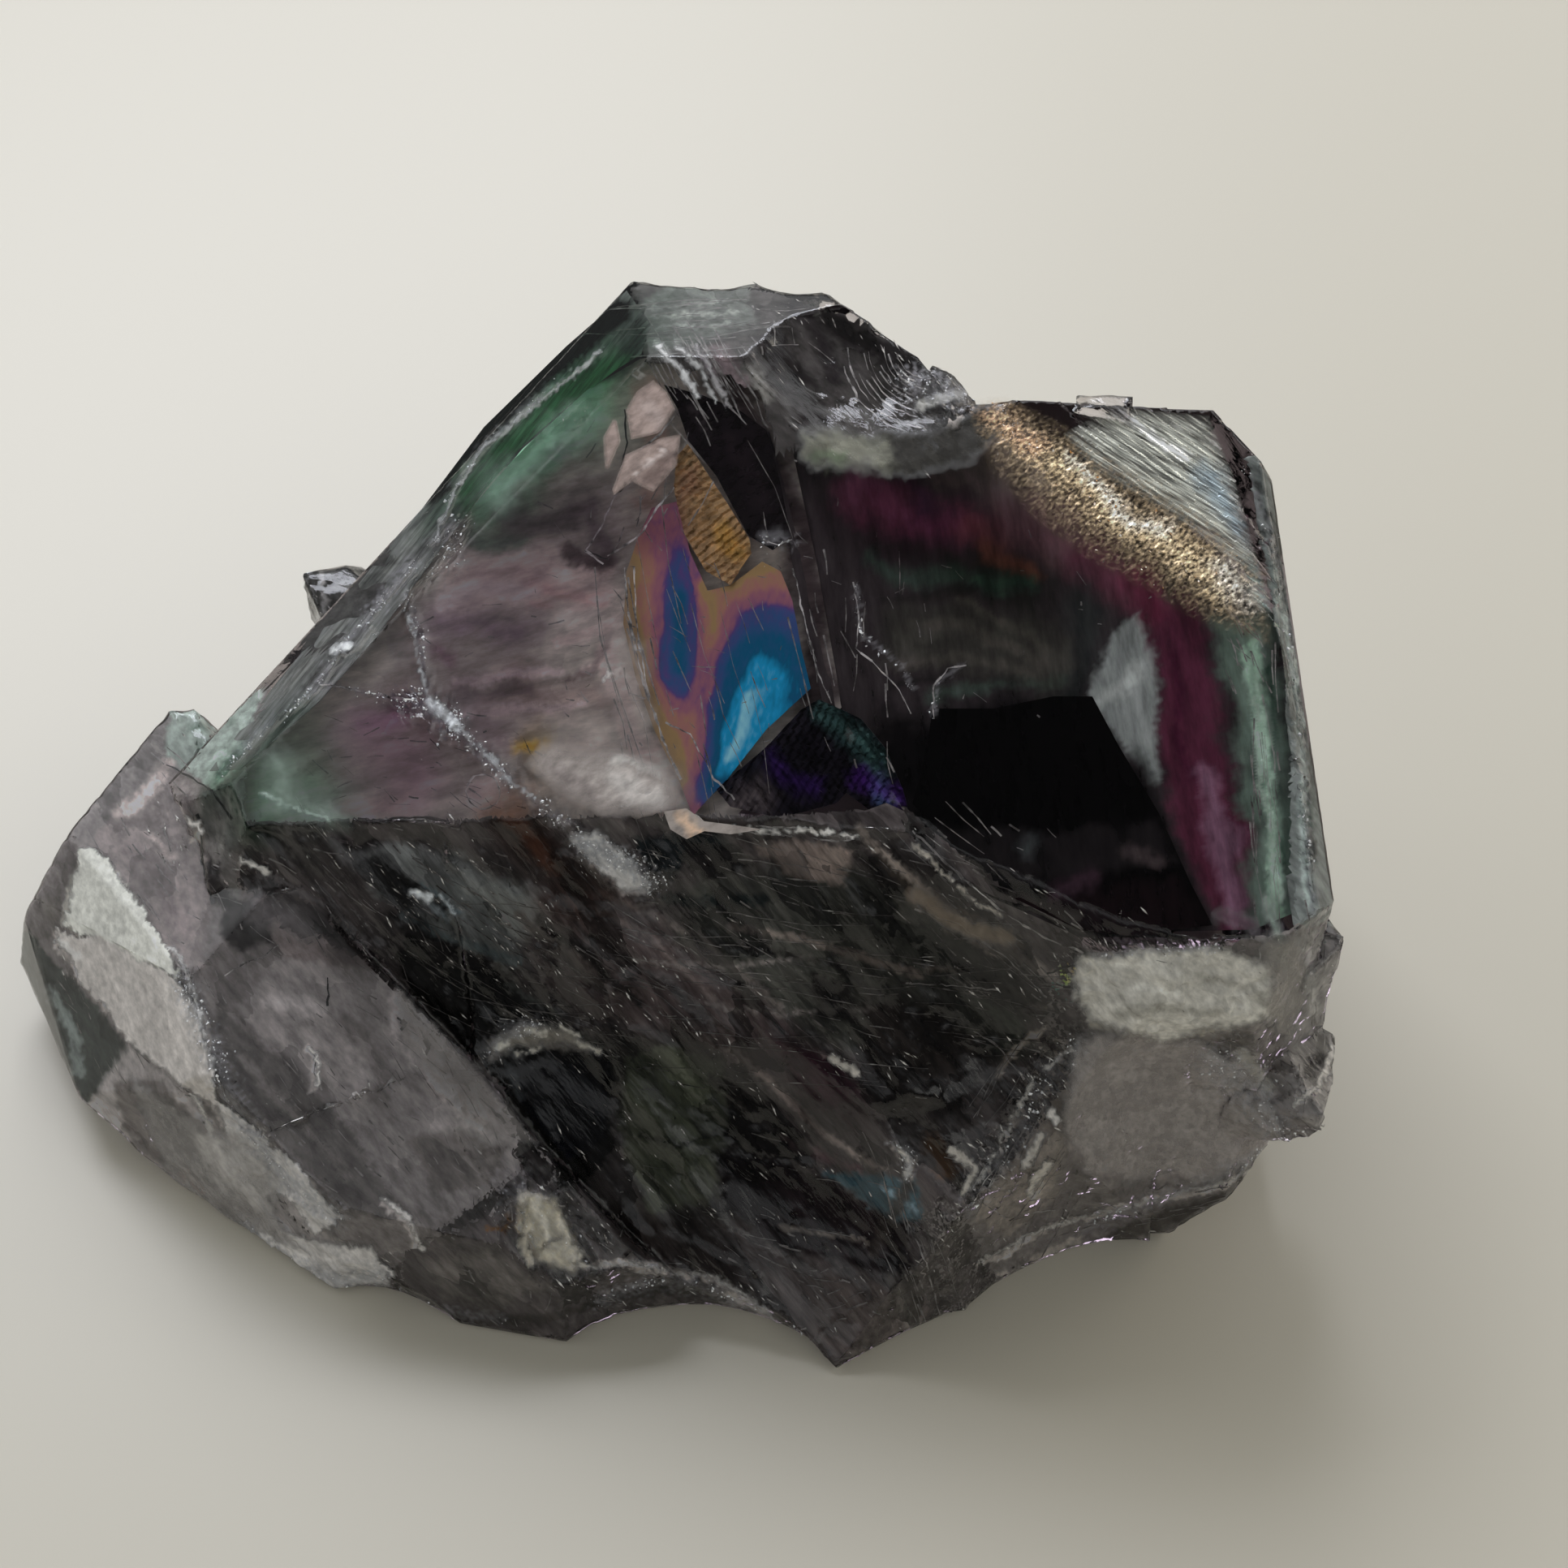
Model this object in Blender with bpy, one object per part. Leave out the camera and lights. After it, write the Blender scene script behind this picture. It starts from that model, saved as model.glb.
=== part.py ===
"""Smoky fluorite hand specimen: crystals grown together on a broken foot, as one solid.

Everything is placed from the heart, a point inside the specimen. A flat face is given by
its bearing (0 is the back, 90 the right), its lift above the horizontal and its distance
from the heart. Lengths are in millimetres and the finished mesh is scaled to metres.
"""
from math import cos, floor, pi, radians, sin

import bmesh
import bpy
from mathutils import Matrix, Vector, noise

MM = 0.001
HEART_HEIGHT = 20.0
REST_POINT = Vector((-0.8, 3.0, -HEART_HEIGHT))
BLOCK_HALF = 60.0
GRAIN_DIRECTION = Vector((0.62, -0.58, -0.53)).normalized()
GRAIN_ACROSS = Vector((0.66, 0.75, -0.05)).normalized()
LEDGE_SPACING = 6.5
RIB_HEIGHT = 0.14
HOLLOW_WARP = 0.06
HOLLOW_STRETCH = 1.6
LUMP_CUTS = 11
SAME_PLANE = radians(0.5)
FLAT = 0
BROKEN = 1

# main crystal body: bearing, lift and distance of each face, and whether it is broken
MAIN_FACES = (
    (218.0, 62.3, 9.92, FLAT),
    (178.7, 71.3, 13.89, FLAT),
    (207.3, 59.5, 10.35, FLAT),
    (313.7, 75.7, 22.81, FLAT),
    (277.7, 53.8, 17.82, FLAT),
    (315.0, 7.0, 24.40, FLAT),
    (14.0, 12.0, 31.60, BROKEN),
    (24.0, 44.0, 35.60, BROKEN),
    (52.0, 8.0, 39.50, FLAT),
    (85.2, 0.0, 38.50, FLAT),
    (103.3, 42.5, 36.55, FLAT),
    (129.5, 2.7, 38.90, BROKEN),
    (178.4, 2.2, 18.68, BROKEN),
    (176.6, 19.9, 19.78, BROKEN),
    (197.2, 30.4, 9.60, BROKEN),
    (199.0, 35.2, 9.70, BROKEN),
    (235.0, 45.0, 17.00, BROKEN),
    (250.0, 0.0, 28.00, BROKEN),
    (100.0, -45.0, 39.40, BROKEN),
    (0.0, -42.0, 26.00, BROKEN),
    (312.0, -50.0, 24.00, BROKEN),
)

# broken foot in front, coming forward from the main body as it goes down
FOOT_FACES = (
    (196.0, 33.0, 9.30, BROKEN),
    (200.5, 37.5, 9.30, BROKEN),
    (155.5, 8.0, 27.20, BROKEN),
    (178.7, 71.3, 12.40, FLAT),
    (218.0, 62.3, 8.70, FLAT),
    (207.3, 59.5, 9.20, FLAT),
    (250.0, 10.0, 14.00, BROKEN),
    (85.0, 0.0, 30.00, BROKEN),
    (0.0, 0.0, -4.00, FLAT),
)

# crystal at the lower left
LOW_FACES = (
    (225.4, 76.9, 3.65, FLAT),
    (235.4, 61.0, 10.09, FLAT),
    (233.2, 38.1, 19.68, FLAT),
    (230.0, 31.1, 21.60, FLAT),
    (213.8, 11.9, 25.07, BROKEN),
    (192.0, 15.0, 20.60, BROKEN),
    (188.8, 54.1, 4.18, FLAT),
    (242.0, 12.0, 33.70, FLAT),
    (310.0, 12.0, 29.40, FLAT),
    (0.0, 0.0, 9.00, FLAT),
    (58.0, 30.0, -17.80, BROKEN),
    (245.0, -50.0, 37.60, BROKEN),
)

# notch behind the right crystal, faces looking into the solid
NOTCH_FACES = (
    (181.5, -15.0, -22.00, FLAT),
    (238.0, -5.0, -25.50, BROKEN),
)

# slope that takes off the shoulder behind the highest point, faces looking into the solid
SHOULDER_FACES = (
    (225.0, -33.0, -32.30, BROKEN),
    (90.0, 0.0, 18.60, FLAT),
)

# growth steps down to the back right corner: bearing, lift and distance of the face they
# follow, bearing and distance of the first step, then the width and drop of each
STEP_FACE = (178.7, 71.3, 13.89)
STEP_BEARING = 48.0
STEP_START = 29.6
STEP_WIDTH = 1.9
STEP_DROP = 0.14
STEP_COUNT = 4

# shell-shaped hollows: point on the surface, bearing and lift of the side they are cut from,
# radius, depth and number of ribs
HOLLOWS = (
    ((12.2, 18.2, 20.8), (150.0, 78.0), 11.0, 1.7, 10),
    ((1.5, -25.6, -20.0), (178.0, 4.0), 9.5, 2.6, 0),
    ((-17.2, -23.6, -19.5), (196.0, 0.0), 6.5, 1.6, 0),
    ((-6.2, -14.0, -4.4), (205.0, 40.0), 13.0, 1.5, 8),
    ((4.7, -18.1, -7.8), (188.0, 30.0), 19.0, 1.7, 9),
    ((17.4, -16.5, 0.5), (175.0, 34.0), 15.0, 1.4, 8),
    ((31.2, -17.8, -5.2), (166.0, 6.0), 16.0, 1.3, 0),
    ((22.1, -21.9, -12.5), (150.0, -4.0), 12.0, 1.5, 7),
    ((-5.6, -22.6, -11.3), (185.0, 30.0), 5.2, 1.6, 5),
    ((-24.2, -17.9, -13.0), (214.0, 16.0), 12.0, 0.9, 6),
    ((-18.9, 7.5, 8.3), (300.0, 60.0), 3.4, 0.7, 0),
    ((-12.4, 13.7, 12.9), (300.0, 60.0), 3.0, 0.6, 0),
    ((-5.4, 18.3, 17.1), (300.0, 60.0), 3.8, 0.7, 0),
    ((38.2, 3.4, 15.5), (95.0, 45.0), 3.0, 0.6, 0),
    ((38.9, -6.2, 12.3), (95.0, 45.0), 4.2, 0.8, 0),
    ((24.8, -16.7, 9.0), (175.0, 45.0), 4.0, 0.7, 0),
    ((15.7, -9.8, 11.2), (190.0, 60.0), 3.6, 0.5, 0),
    ((-12.0, 22.8, 1.0), (315.0, 7.0), 15.0, 1.1, 7),
    ((-3.0, 29.0, -4.0), (345.0, 5.0), 12.0, 1.3, 6),
    ((26.0, 22.0, -1.0), (2.0, 15.0), 17.0, 1.2, 8),
    ((38.0, 6.0, -9.0), (85.0, -4.0), 14.0, 1.0, 6),
)

# small broken lumps: centre, radii, turn about the vertical
LUMPS = (
    ((-20.4, 16.9, 0.2), (3.2, 3.0, 3.2), 35.0),
    ((-18.0, 18.6, -2.2), (3.4, 2.6, 3.0), 80.0),
    ((38.2, -10.2, -2.2), (3.2, 4.4, 6.0), 8.0),
    ((38.4, -13.6, -8.2), (3.6, 3.8, 4.4), 20.0),
    ((27.4, 16.6, 19.6), (1.8, 1.0, 0.8), 10.0),
    ((17.8, 18.0, 17.2), (2.6, 2.0, 2.6), 60.0),
)


def facing(bearing, lift):
    """Unit vector for a bearing and a lift in degrees."""
    a, b = radians(bearing), radians(lift)
    return Vector((sin(a) * cos(b), cos(a) * cos(b), sin(b)))


def new_object(name, bm, collection):
    """Object from a finished bmesh."""
    mesh = bpy.data.meshes.new(name)
    bm.to_mesh(mesh)
    bm.free()
    obj = bpy.data.objects.new(name, mesh)
    collection.objects.link(obj)
    return obj


def slice_off(bm, normal, distance, kind):
    """Cut away all beyond a plane and close the cut with one face."""
    cut = bmesh.ops.bisect_plane(
        bm, geom=bm.verts[:] + bm.edges[:] + bm.faces[:], dist=1e-4,
        plane_co=normal * distance, plane_no=normal, clear_outer=True)
    rim = [part for part in cut["geom_cut"] if isinstance(part, bmesh.types.BMEdge)]
    made = bmesh.ops.contextual_create(bm, geom=rim)
    for face in made["faces"]:
        face.material_index = kind


def cut_block(faces):
    """Cube cut down by flat faces, each marked as flat or broken, with a level underside."""
    bm = bmesh.new()
    bmesh.ops.create_cube(bm, size=2.0 * BLOCK_HALF)
    for bearing, lift, distance, kind in faces:
        slice_off(bm, facing(bearing, lift), distance, kind)
    slice_off(bm, Vector((0.0, 0.0, -1.0)), HEART_HEIGHT, FLAT)
    bmesh.ops.recalc_face_normals(bm, faces=bm.faces[:])
    return bm


def fracture_relief(point, seed, depth):
    """How far a broken face is worn back at a point: soft waves, stepped ledges, grain."""
    shift = Vector((seed * 17.3, seed * -9.1, seed * 5.7))
    wave = noise.noise(point / 12.0 + shift)
    grain = noise.noise(point / 3.2 - shift)
    bend = 0.8 * noise.noise(point / 9.0 + 2.0 * shift)
    run = point.dot(GRAIN_ACROSS) / LEDGE_SPACING + bend
    ledge = run - floor(run)
    return -depth * (0.55 + 0.75 * wave + 0.45 * (ledge - 0.5) + 0.16 * grain)


def split_finely(bm, spacing):
    """Even triangles on the broken faces, each face still flat."""
    for _ in range(7):
        long_edges = [e for e in bm.edges if e.calc_length() > spacing
                      and any(f.material_index == BROKEN for f in e.link_faces)]
        if not long_edges:
            break
        bmesh.ops.subdivide_edges(bm, edges=long_edges, cuts=1)
        broken = [f for f in bm.faces if f.material_index == BROKEN and len(f.verts) > 3]
        bmesh.ops.triangulate(bm, faces=broken)
        broken = [f for f in bm.faces if f.material_index == BROKEN]
        inner = [e for e in bm.edges if len(e.link_faces) == 2
                 and all(f.material_index == BROKEN for f in e.link_faces)
                 and e.calc_face_angle(0.0) < SAME_PLANE]
        bmesh.ops.beautify_fill(bm, faces=broken, edges=inner)
        bm.normal_update()
        middles = [v for v in bm.verts if all(f.material_index == BROKEN for f in v.link_faces)
                   and all(e.calc_face_angle(0.0) < SAME_PLANE for e in v.link_edges)]
        for _ in range(3):
            bmesh.ops.smooth_vert(bm, verts=middles, factor=0.5, use_axis_x=True,
                                  use_axis_y=True, use_axis_z=True)


def roughen(bm, spacing, depth, seed):
    """Wear the broken faces back; flat faces keep their planes."""
    split_finely(bm, spacing)
    bm.normal_update()
    ways = {}
    planes = {}
    for vert in bm.verts:
        broken = [f.normal.copy() for f in vert.link_faces if f.material_index == BROKEN]
        planes[vert] = [f.normal.copy() for f in vert.link_faces if f.material_index == FLAT]
        ways[vert] = sum(broken, Vector()).normalized() if broken else Vector()
    for _ in range(4):
        blurred = {}
        for vert, way in ways.items():
            near = [ways[e.other_vert(vert)] for e in vert.link_edges]
            blurred[vert] = (way + sum(near, Vector()) / len(near)) / 2.0
        ways = blurred
    for vert, way in ways.items():
        flats = planes[vert]
        if len(flats) > 1 or len(flats) == len(vert.link_faces):
            continue
        if flats:
            way = way - flats[0] * way.dot(flats[0])
        vert.co += way * fracture_relief(vert.co, seed, depth)
    return bm


def growth_step(index):
    """Block that takes a thin layer off the face beyond one step line."""
    bearing, lift, distance = STEP_FACE
    layer = (bearing + 180.0, -lift, STEP_DROP * (index + 1) - distance, FLAT)
    turn = STEP_BEARING + 3.0 * index
    line = (turn + 180.0, 0.0, -(STEP_START + STEP_WIDTH * index), FLAT)
    return cut_block((layer, line))


def hollow_cutter(point, side, radius, depth, ribs):
    """Long uneven ball that cuts a shell-shaped hollow, ribbed across its length."""
    way = facing(*side)
    along = (GRAIN_DIRECTION - way * GRAIN_DIRECTION.dot(way)).normalized()
    across = way.cross(along)
    centre = Vector(point) + way * (radius - depth)
    bm = bmesh.new()
    bmesh.ops.create_icosphere(bm, subdivisions=4 if radius > 5.0 else 3, radius=1.0)
    for vert in bm.verts:
        ripple = RIB_HEIGHT * sin(vert.co.dot(across) * ribs * 2.0 * pi) if ribs else 0.0
        bump = HOLLOW_WARP * radius * noise.noise(vert.co * 1.9 + Vector(point))
        reach = vert.co * (radius + ripple + bump)
        vert.co = centre + reach + along * reach.dot(along) * (HOLLOW_STRETCH - 1.0)
    return bm


def lump(centre, radii, turn):
    """Small broken lump: a block with its corners knocked off."""
    bm = bmesh.new()
    bmesh.ops.create_cube(bm, size=1.9)
    for k in range(LUMP_CUTS):
        way = facing(turn + 67.0 * k, 80.0 * sin(2.3 * k + turn))
        slice_off(bm, way, 0.70 + 0.22 * abs(sin(5.1 * k + turn)), FLAT)
    bmesh.ops.recalc_face_normals(bm, faces=bm.faces[:])
    bmesh.ops.scale(bm, verts=bm.verts[:], vec=radii)
    bmesh.ops.rotate(bm, verts=bm.verts[:], cent=(0, 0, 0),
                     matrix=Matrix.Rotation(-radians(turn), 3, "Z"))
    bmesh.ops.translate(bm, verts=bm.verts[:], vec=centre)
    return bm


def combine(body, other, operation):
    """Exact union or cut, applied at once; the other object is removed."""
    step = body.modifiers.new(operation.title(), "BOOLEAN")
    step.object = other
    step.operation = operation
    step.solver = "EXACT"
    bpy.context.view_layer.update()
    graph = bpy.context.evaluated_depsgraph_get()
    mesh = bpy.data.meshes.new_from_object(body.evaluated_get(graph))
    body.modifiers.remove(step)
    body.data = mesh
    bpy.data.objects.remove(other, do_unlink=True)


def finish_mesh(body):
    """One clean closed shell in metres, resting on its underside at the origin."""
    bm = bmesh.new()
    bm.from_mesh(body.data)
    bmesh.ops.remove_doubles(bm, verts=bm.verts[:], dist=0.01)
    bmesh.ops.dissolve_degenerate(bm, edges=bm.edges[:], dist=0.01)
    bmesh.ops.triangulate(bm, faces=bm.faces[:])
    bmesh.ops.translate(bm, verts=bm.verts[:], vec=-REST_POINT)
    bmesh.ops.scale(bm, verts=bm.verts[:], vec=(MM, MM, MM))
    for face in bm.faces:
        face.material_index = 0
        face.smooth = False
    bm.to_mesh(body.data)
    bm.free()


def fluorite_material():
    """Clear, smoky grey-mauve crystal."""
    material = bpy.data.materials.new("fluorite_smoky")
    material.use_nodes = True
    shader = material.node_tree.nodes["Principled BSDF"]
    shader.inputs["Base Color"].default_value = (0.16, 0.13, 0.15, 1.0)
    shader.inputs["Roughness"].default_value = 0.06
    shader.inputs["IOR"].default_value = 1.434
    shader.inputs["Transmission Weight"].default_value = 0.8
    return material


def main():
    for old in list(bpy.data.objects):
        bpy.data.objects.remove(old, do_unlink=True)
    specimen = bpy.data.collections.new("Fluorite specimen")
    bpy.context.scene.collection.children.link(specimen)

    body = new_object("fluorite_crystal", roughen(cut_block(MAIN_FACES), 2.6, 1.0, 1), specimen)
    foot = new_object("foot", roughen(cut_block(FOOT_FACES), 2.2, 1.2, 2), specimen)
    combine(body, foot, "UNION")
    low = new_object("low", roughen(cut_block(LOW_FACES), 2.2, 0.7, 3), specimen)
    combine(body, low, "UNION")
    notch = new_object("notch", roughen(cut_block(NOTCH_FACES), 6.0, 0.8, 4), specimen)
    combine(body, notch, "DIFFERENCE")
    shoulder = new_object("shoulder", roughen(cut_block(SHOULDER_FACES), 6.0, 0.6, 5), specimen)
    combine(body, shoulder, "DIFFERENCE")
    for index in range(STEP_COUNT):
        combine(body, new_object("step", growth_step(index), specimen), "DIFFERENCE")
    for hollow in HOLLOWS:
        combine(body, new_object("hollow", hollow_cutter(*hollow), specimen), "DIFFERENCE")
    for centre, radii, turn in LUMPS:
        combine(body, new_object("lump", lump(centre, radii, turn), specimen), "UNION")
    finish_mesh(body)
    body.data.materials.clear()
    body.data.materials.append(fluorite_material())


main()
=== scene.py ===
from math import radians, sin, sqrt, tan

import bmesh
import bpy
import numpy as np
from bpy.props import FloatProperty, FloatVectorProperty, IntProperty, PointerProperty
from bpy.types import Operator, Panel, PropertyGroup
from mathutils import Matrix, Vector, noise
from mathutils.bvhtree import BVHTree


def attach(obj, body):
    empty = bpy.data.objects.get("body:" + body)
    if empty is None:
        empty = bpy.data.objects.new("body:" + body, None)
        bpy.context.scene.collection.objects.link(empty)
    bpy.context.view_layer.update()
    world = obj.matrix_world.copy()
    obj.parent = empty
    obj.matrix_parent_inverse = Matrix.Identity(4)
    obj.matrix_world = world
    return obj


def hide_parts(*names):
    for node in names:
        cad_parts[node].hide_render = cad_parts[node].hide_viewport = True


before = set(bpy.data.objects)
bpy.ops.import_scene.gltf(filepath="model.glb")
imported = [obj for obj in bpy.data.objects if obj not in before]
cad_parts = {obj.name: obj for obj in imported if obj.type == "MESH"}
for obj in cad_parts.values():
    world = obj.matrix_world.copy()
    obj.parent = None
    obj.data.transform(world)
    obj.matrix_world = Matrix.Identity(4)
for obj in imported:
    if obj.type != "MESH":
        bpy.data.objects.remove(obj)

bl_info = {
    "name": "Fluorite specimen",
    "version": (1, 0, 0),
    "blender": (4, 5, 0),
    "location": "3D View > Sidebar > Fluorite",
    "description": "Dresses a smoky fluorite hand specimen and sets its plain studio stage",
    "category": "Object",
}

MM = 0.001
NODE = "fluorite_crystal"
BODY = "root"
IOR_FLUORITE = 1.434
NOISE_SEED = 5

# the photograph is square; its camera's place and aim are in millimetres in the part's frame
PHOTO_SIZE = 1932
CAMERA_PLACE = Vector((8.8, -113.9, 165.8))
CAMERA_AIM = Vector((8.8, 0.0, 20.0))
CAMERA_FIELD = radians(30.0)
SENSOR_WIDTH = 36.0
# a pixel just off the crystal's edge is drawn towards the middle in small steps
MIDDLE_PIXEL = (900, 1000)
EDGE_STEPS = 40
EDGE_SHARE = 0.004

# run of the fracture grain across the broken front, and the direction across it
GRAIN_ALONG = Vector((0.62, -0.58, -0.53)).normalized()
GRAIN_ACROSS = Vector((0.66, 0.75, -0.05)).normalized()
GRAIN_TURN = Matrix((GRAIN_ALONG, GRAIN_ACROSS, GRAIN_ALONG.cross(GRAIN_ACROSS))).transposed().to_euler()

# every outline and line below is in pixels of the photograph, set on the crystal by a ray
# from the camera; depths, widths and reaches are in millimetres, except in painted layers

# bruised and crushed lines: pixels, width, strength
BRUISES = (
    (((744, 428), (690, 468), (640, 512), (594, 552), (562, 600), (534, 668)), 0.45, 0.7),
    (((560, 650), (552, 690), (525, 700)), 1.5, 0.5),
    (((509, 693), (457, 758), (413, 806), (392, 845), (327, 897), (279, 949)), 0.6, 0.8),
    (((500, 732), (517, 788), (522, 832), (530, 868)), 0.55, 1.0),
    (((505, 865), (528, 872), (552, 890)), 1.3, 1.6),
    (((552, 890), (578, 914), (621, 953), (656, 988), (690, 1010)), 0.8, 0.9),
    (((392, 840), (448, 853), (496, 860)), 0.3, 0.9),
    (((716, 1040), (748, 1052), (776, 1066), (800, 1086)), 1.1, 1.3),
    (((225, 1210), (260, 1290), (300, 1380), (350, 1450), (415, 1500)), 1.1, 0.9),
    (((300, 1520), (360, 1562), (420, 1578), (470, 1572)), 1.0, 0.8),
    (((484, 1585), (530, 1610), (620, 1622)), 0.5, 0.5),
    (((640, 1470), (670, 1500), (700, 1540)), 2.0, 0.5),
    (((740, 1600), (800, 1578), (860, 1580), (930, 1610), (985, 1655)), 0.8, 0.7),
    (((1345, 1178), (1420, 1172), (1505, 1168)), 0.4, 0.8),
    (((1500, 1300), (1540, 1340), (1575, 1380)), 2.0, 0.7),
    (((1325, 1290), (1290, 1330), (1255, 1400), (1190, 1490)), 0.9, 0.7),
    (((1340, 1510), (1400, 1485), (1500, 1450), (1560, 1420)), 0.7, 0.7),
    (((1118, 470), (1150, 478), (1190, 488)), 1.3, 0.9),
    (((1534, 584), (1560, 650), (1583, 760), (1602, 900), (1610, 1050), (1618, 1150)), 0.5, 0.45),
    (((1100, 1405), (1122, 1420), (1118, 1450)), 0.5, 0.9),
    (((600, 1290), (630, 1272), (655, 1262)), 0.9, 0.8),
    (((1055, 720), (1060, 780), (1085, 800), (1110, 820), (1125, 850)), 0.25, 0.7),
    (((1150, 880), (1155, 840), (1185, 820)), 0.25, 0.7),
    (((940, 662), (975, 668)), 0.6, 0.9),
)

# patches with bright flecks: pixels, reach, strength
FLECKS = (
    (((560, 1100), (640, 1150), (760, 1200), (900, 1260)), 5.0, 0.5),
    (((500, 1105), (540, 1125)), 1.6, 1.0),
    (((596, 1300), (625, 1280), (655, 1262), (700, 1272)), 1.2, 1.6),
    (((726, 1046), (797, 1082)), 2.0, 1.2),
    (((1200, 1210), (1280, 1230)), 2.0, 0.7),
    (((1180, 1500), (1240, 1420), (1290, 1340)), 2.4, 1.0),
    (((1220, 1545), (1400, 1485)), 1.4, 1.0),
    (((1100, 1400), (1125, 1430)), 1.2, 1.2),
    (((1060, 1290), (1110, 1310)), 1.4, 0.9),
    (((1500, 1290), (1570, 1350), (1580, 1390)), 3.0, 1.0),
    (((1345, 1190), (1450, 1200), (1540, 1215)), 2.6, 0.7),
    (((1600, 1330), (1640, 1280)), 1.6, 0.9),
    (((70, 1170), (90, 1190)), 1.2, 1.2),
    (((240, 1290), (262, 1350), (330, 1410)), 1.6, 0.9),
    (((300, 1530), (400, 1570), (470, 1560)), 2.0, 1.0),
    (((640, 1480), (720, 1560)), 3.0, 0.9),
    (((800, 1570), (930, 1605)), 1.0, 1.0),
    (((1060, 1580), (1120, 1640)), 2.0, 0.7),
    (((190, 1010), (235, 1050)), 2.0, 0.6),
    (((400, 1040), (460, 1080)), 2.0, 0.6),
    (((1090, 400), (1190, 480)), 2.4, 0.8),
    (((900, 370), (980, 400)), 2.0, 0.5),
)

# patches where the surface is crushed or frosted: pixels, reach, strength
FROSTS = (
    (((1360, 1205), (1440, 1215), (1530, 1210)), 2.6, 0.9),
    (((1520, 1320), (1560, 1360)), 3.0, 0.8),
    (((250, 1290), (300, 1380), (380, 1480)), 1.6, 0.7),
    (((330, 1520), (430, 1560)), 2.0, 0.6),
    (((660, 1490), (700, 1540)), 3.2, 0.7),
    (((1200, 1480), (1260, 1400), (1300, 1330)), 1.6, 0.6),
    (((1340, 1500), (1480, 1455)), 1.4, 0.6),
    (((1160, 490), (1200, 480)), 2.2, 0.8),
)

# colour of the crystal where light enters it: pixels, reach, colour, strength
STAINS = (
    (((600, 600), (680, 520), (735, 450)), 6.5, "4f8464", 0.95),
    (((310, 975), (370, 950)), 5.0, "6f957c", 0.9),
    (((700, 640), (600, 700), (560, 860), (480, 940)), 7.5, "7d6a78", 0.7),
    (((470, 900), (500, 920)), 3.5, "6e4c5e", 0.6),
    (((640, 1000), (670, 1040), (720, 1110)), 2.6, "7a5238", 0.8),
    (((658, 918), (668, 918)), 1.1, "b79a3c", 0.8),
    (((1080, 620), (1170, 640), (1240, 690)), 4.0, "6b3a52", 0.8),
    (((1190, 700), (1265, 715)), 2.4, "5d7a62", 0.7),
    (((560, 1180), (700, 1250), (900, 1400)), 9.0, "5e5a58", 0.7),
    (((980, 1310), (1040, 1350)), 3.2, "5a3346", 0.7),
    (((830, 1330), (840, 1460)), 4.2, "6a7563", 0.6),
    (((1100, 1150), (1280, 1300)), 7.0, "5a5450", 0.7),
)


def linear(hex_colour, alpha=1.0):
    """Linear RGBA from an sRGB hex colour."""
    parts = [int(hex_colour[i:i + 2], 16) / 255.0 for i in (0, 2, 4)]
    return (*[p / 12.92 if p <= 0.04045 else ((p + 0.055) / 1.055) ** 2.4 for p in parts], alpha)


# geometry of sight: from pixels of the photograph to places on and in the crystal

def pixel_ray(u, v):
    """Direction from the camera through a pixel of the photograph."""
    ahead = (CAMERA_AIM - CAMERA_PLACE).normalized()
    right = ahead.cross(Vector((0.0, 0.0, 1.0))).normalized()
    up = right.cross(ahead)
    reach = PHOTO_SIZE / 2.0 / tan(CAMERA_FIELD / 2.0)
    return (ahead * reach + right * (u - PHOTO_SIZE / 2.0) + up * (PHOTO_SIZE / 2.0 - v)).normalized()


def to_pixels(points):
    """Pixels of the photograph at which points in millimetres are seen."""
    ahead = (CAMERA_AIM - CAMERA_PLACE).normalized()
    right = ahead.cross(Vector((0.0, 0.0, 1.0))).normalized()
    up = right.cross(ahead)
    away = points - np.array(CAMERA_PLACE)
    reach = PHOTO_SIZE / 2.0 / tan(CAMERA_FIELD / 2.0) / (away @ np.array(ahead))
    return np.stack([PHOTO_SIZE / 2.0 + reach * (away @ np.array(right)),
                     PHOTO_SIZE / 2.0 - reach * (away @ np.array(up))], axis=1)


def merged_solid():
    """The specimen's solid in millimetres with its loose triangles joined."""
    bm = bmesh.new()
    bm.from_mesh(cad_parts[NODE].data)
    bmesh.ops.remove_doubles(bm, verts=bm.verts[:], dist=1e-6)
    bmesh.ops.scale(bm, verts=bm.verts[:], vec=(1.0 / MM,) * 3)
    bm.normal_update()
    return bm


def solid_tree():
    """Search tree of the solid, in millimetres."""
    bm = merged_solid()
    tree = BVHTree.FromBMesh(bm)
    bm.free()
    return tree


SOLID = solid_tree()


def spot(u, v):
    """Where a pixel meets the crystal, and the way its surface faces there. A pixel just off
    its edge is drawn in towards the middle."""
    for step in range(EDGE_STEPS):
        share = step * EDGE_SHARE
        place, facing, _, _ = SOLID.ray_cast(CAMERA_PLACE, pixel_ray(
            u + share * (MIDDLE_PIXEL[0] - u), v + share * (MIDDLE_PIXEL[1] - v)))
        if place is not None:
            return place, facing
    raise ValueError(f"pixel {u}, {v} misses the crystal")


def bent(ray, facing):
    """Direction of a ray inside the crystal."""
    cosine = -ray.dot(facing)
    ratio = 1.0 / IOR_FLUORITE
    inward = ratio * cosine - sqrt(1.0 - ratio ** 2 * (1.0 - cosine ** 2))
    return (ray * ratio + facing * inward).normalized()


def spots(pixels):
    """Places on the crystal for a row of pixels."""
    return np.array([spot(u, v)[0] for u, v in pixels])


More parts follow.
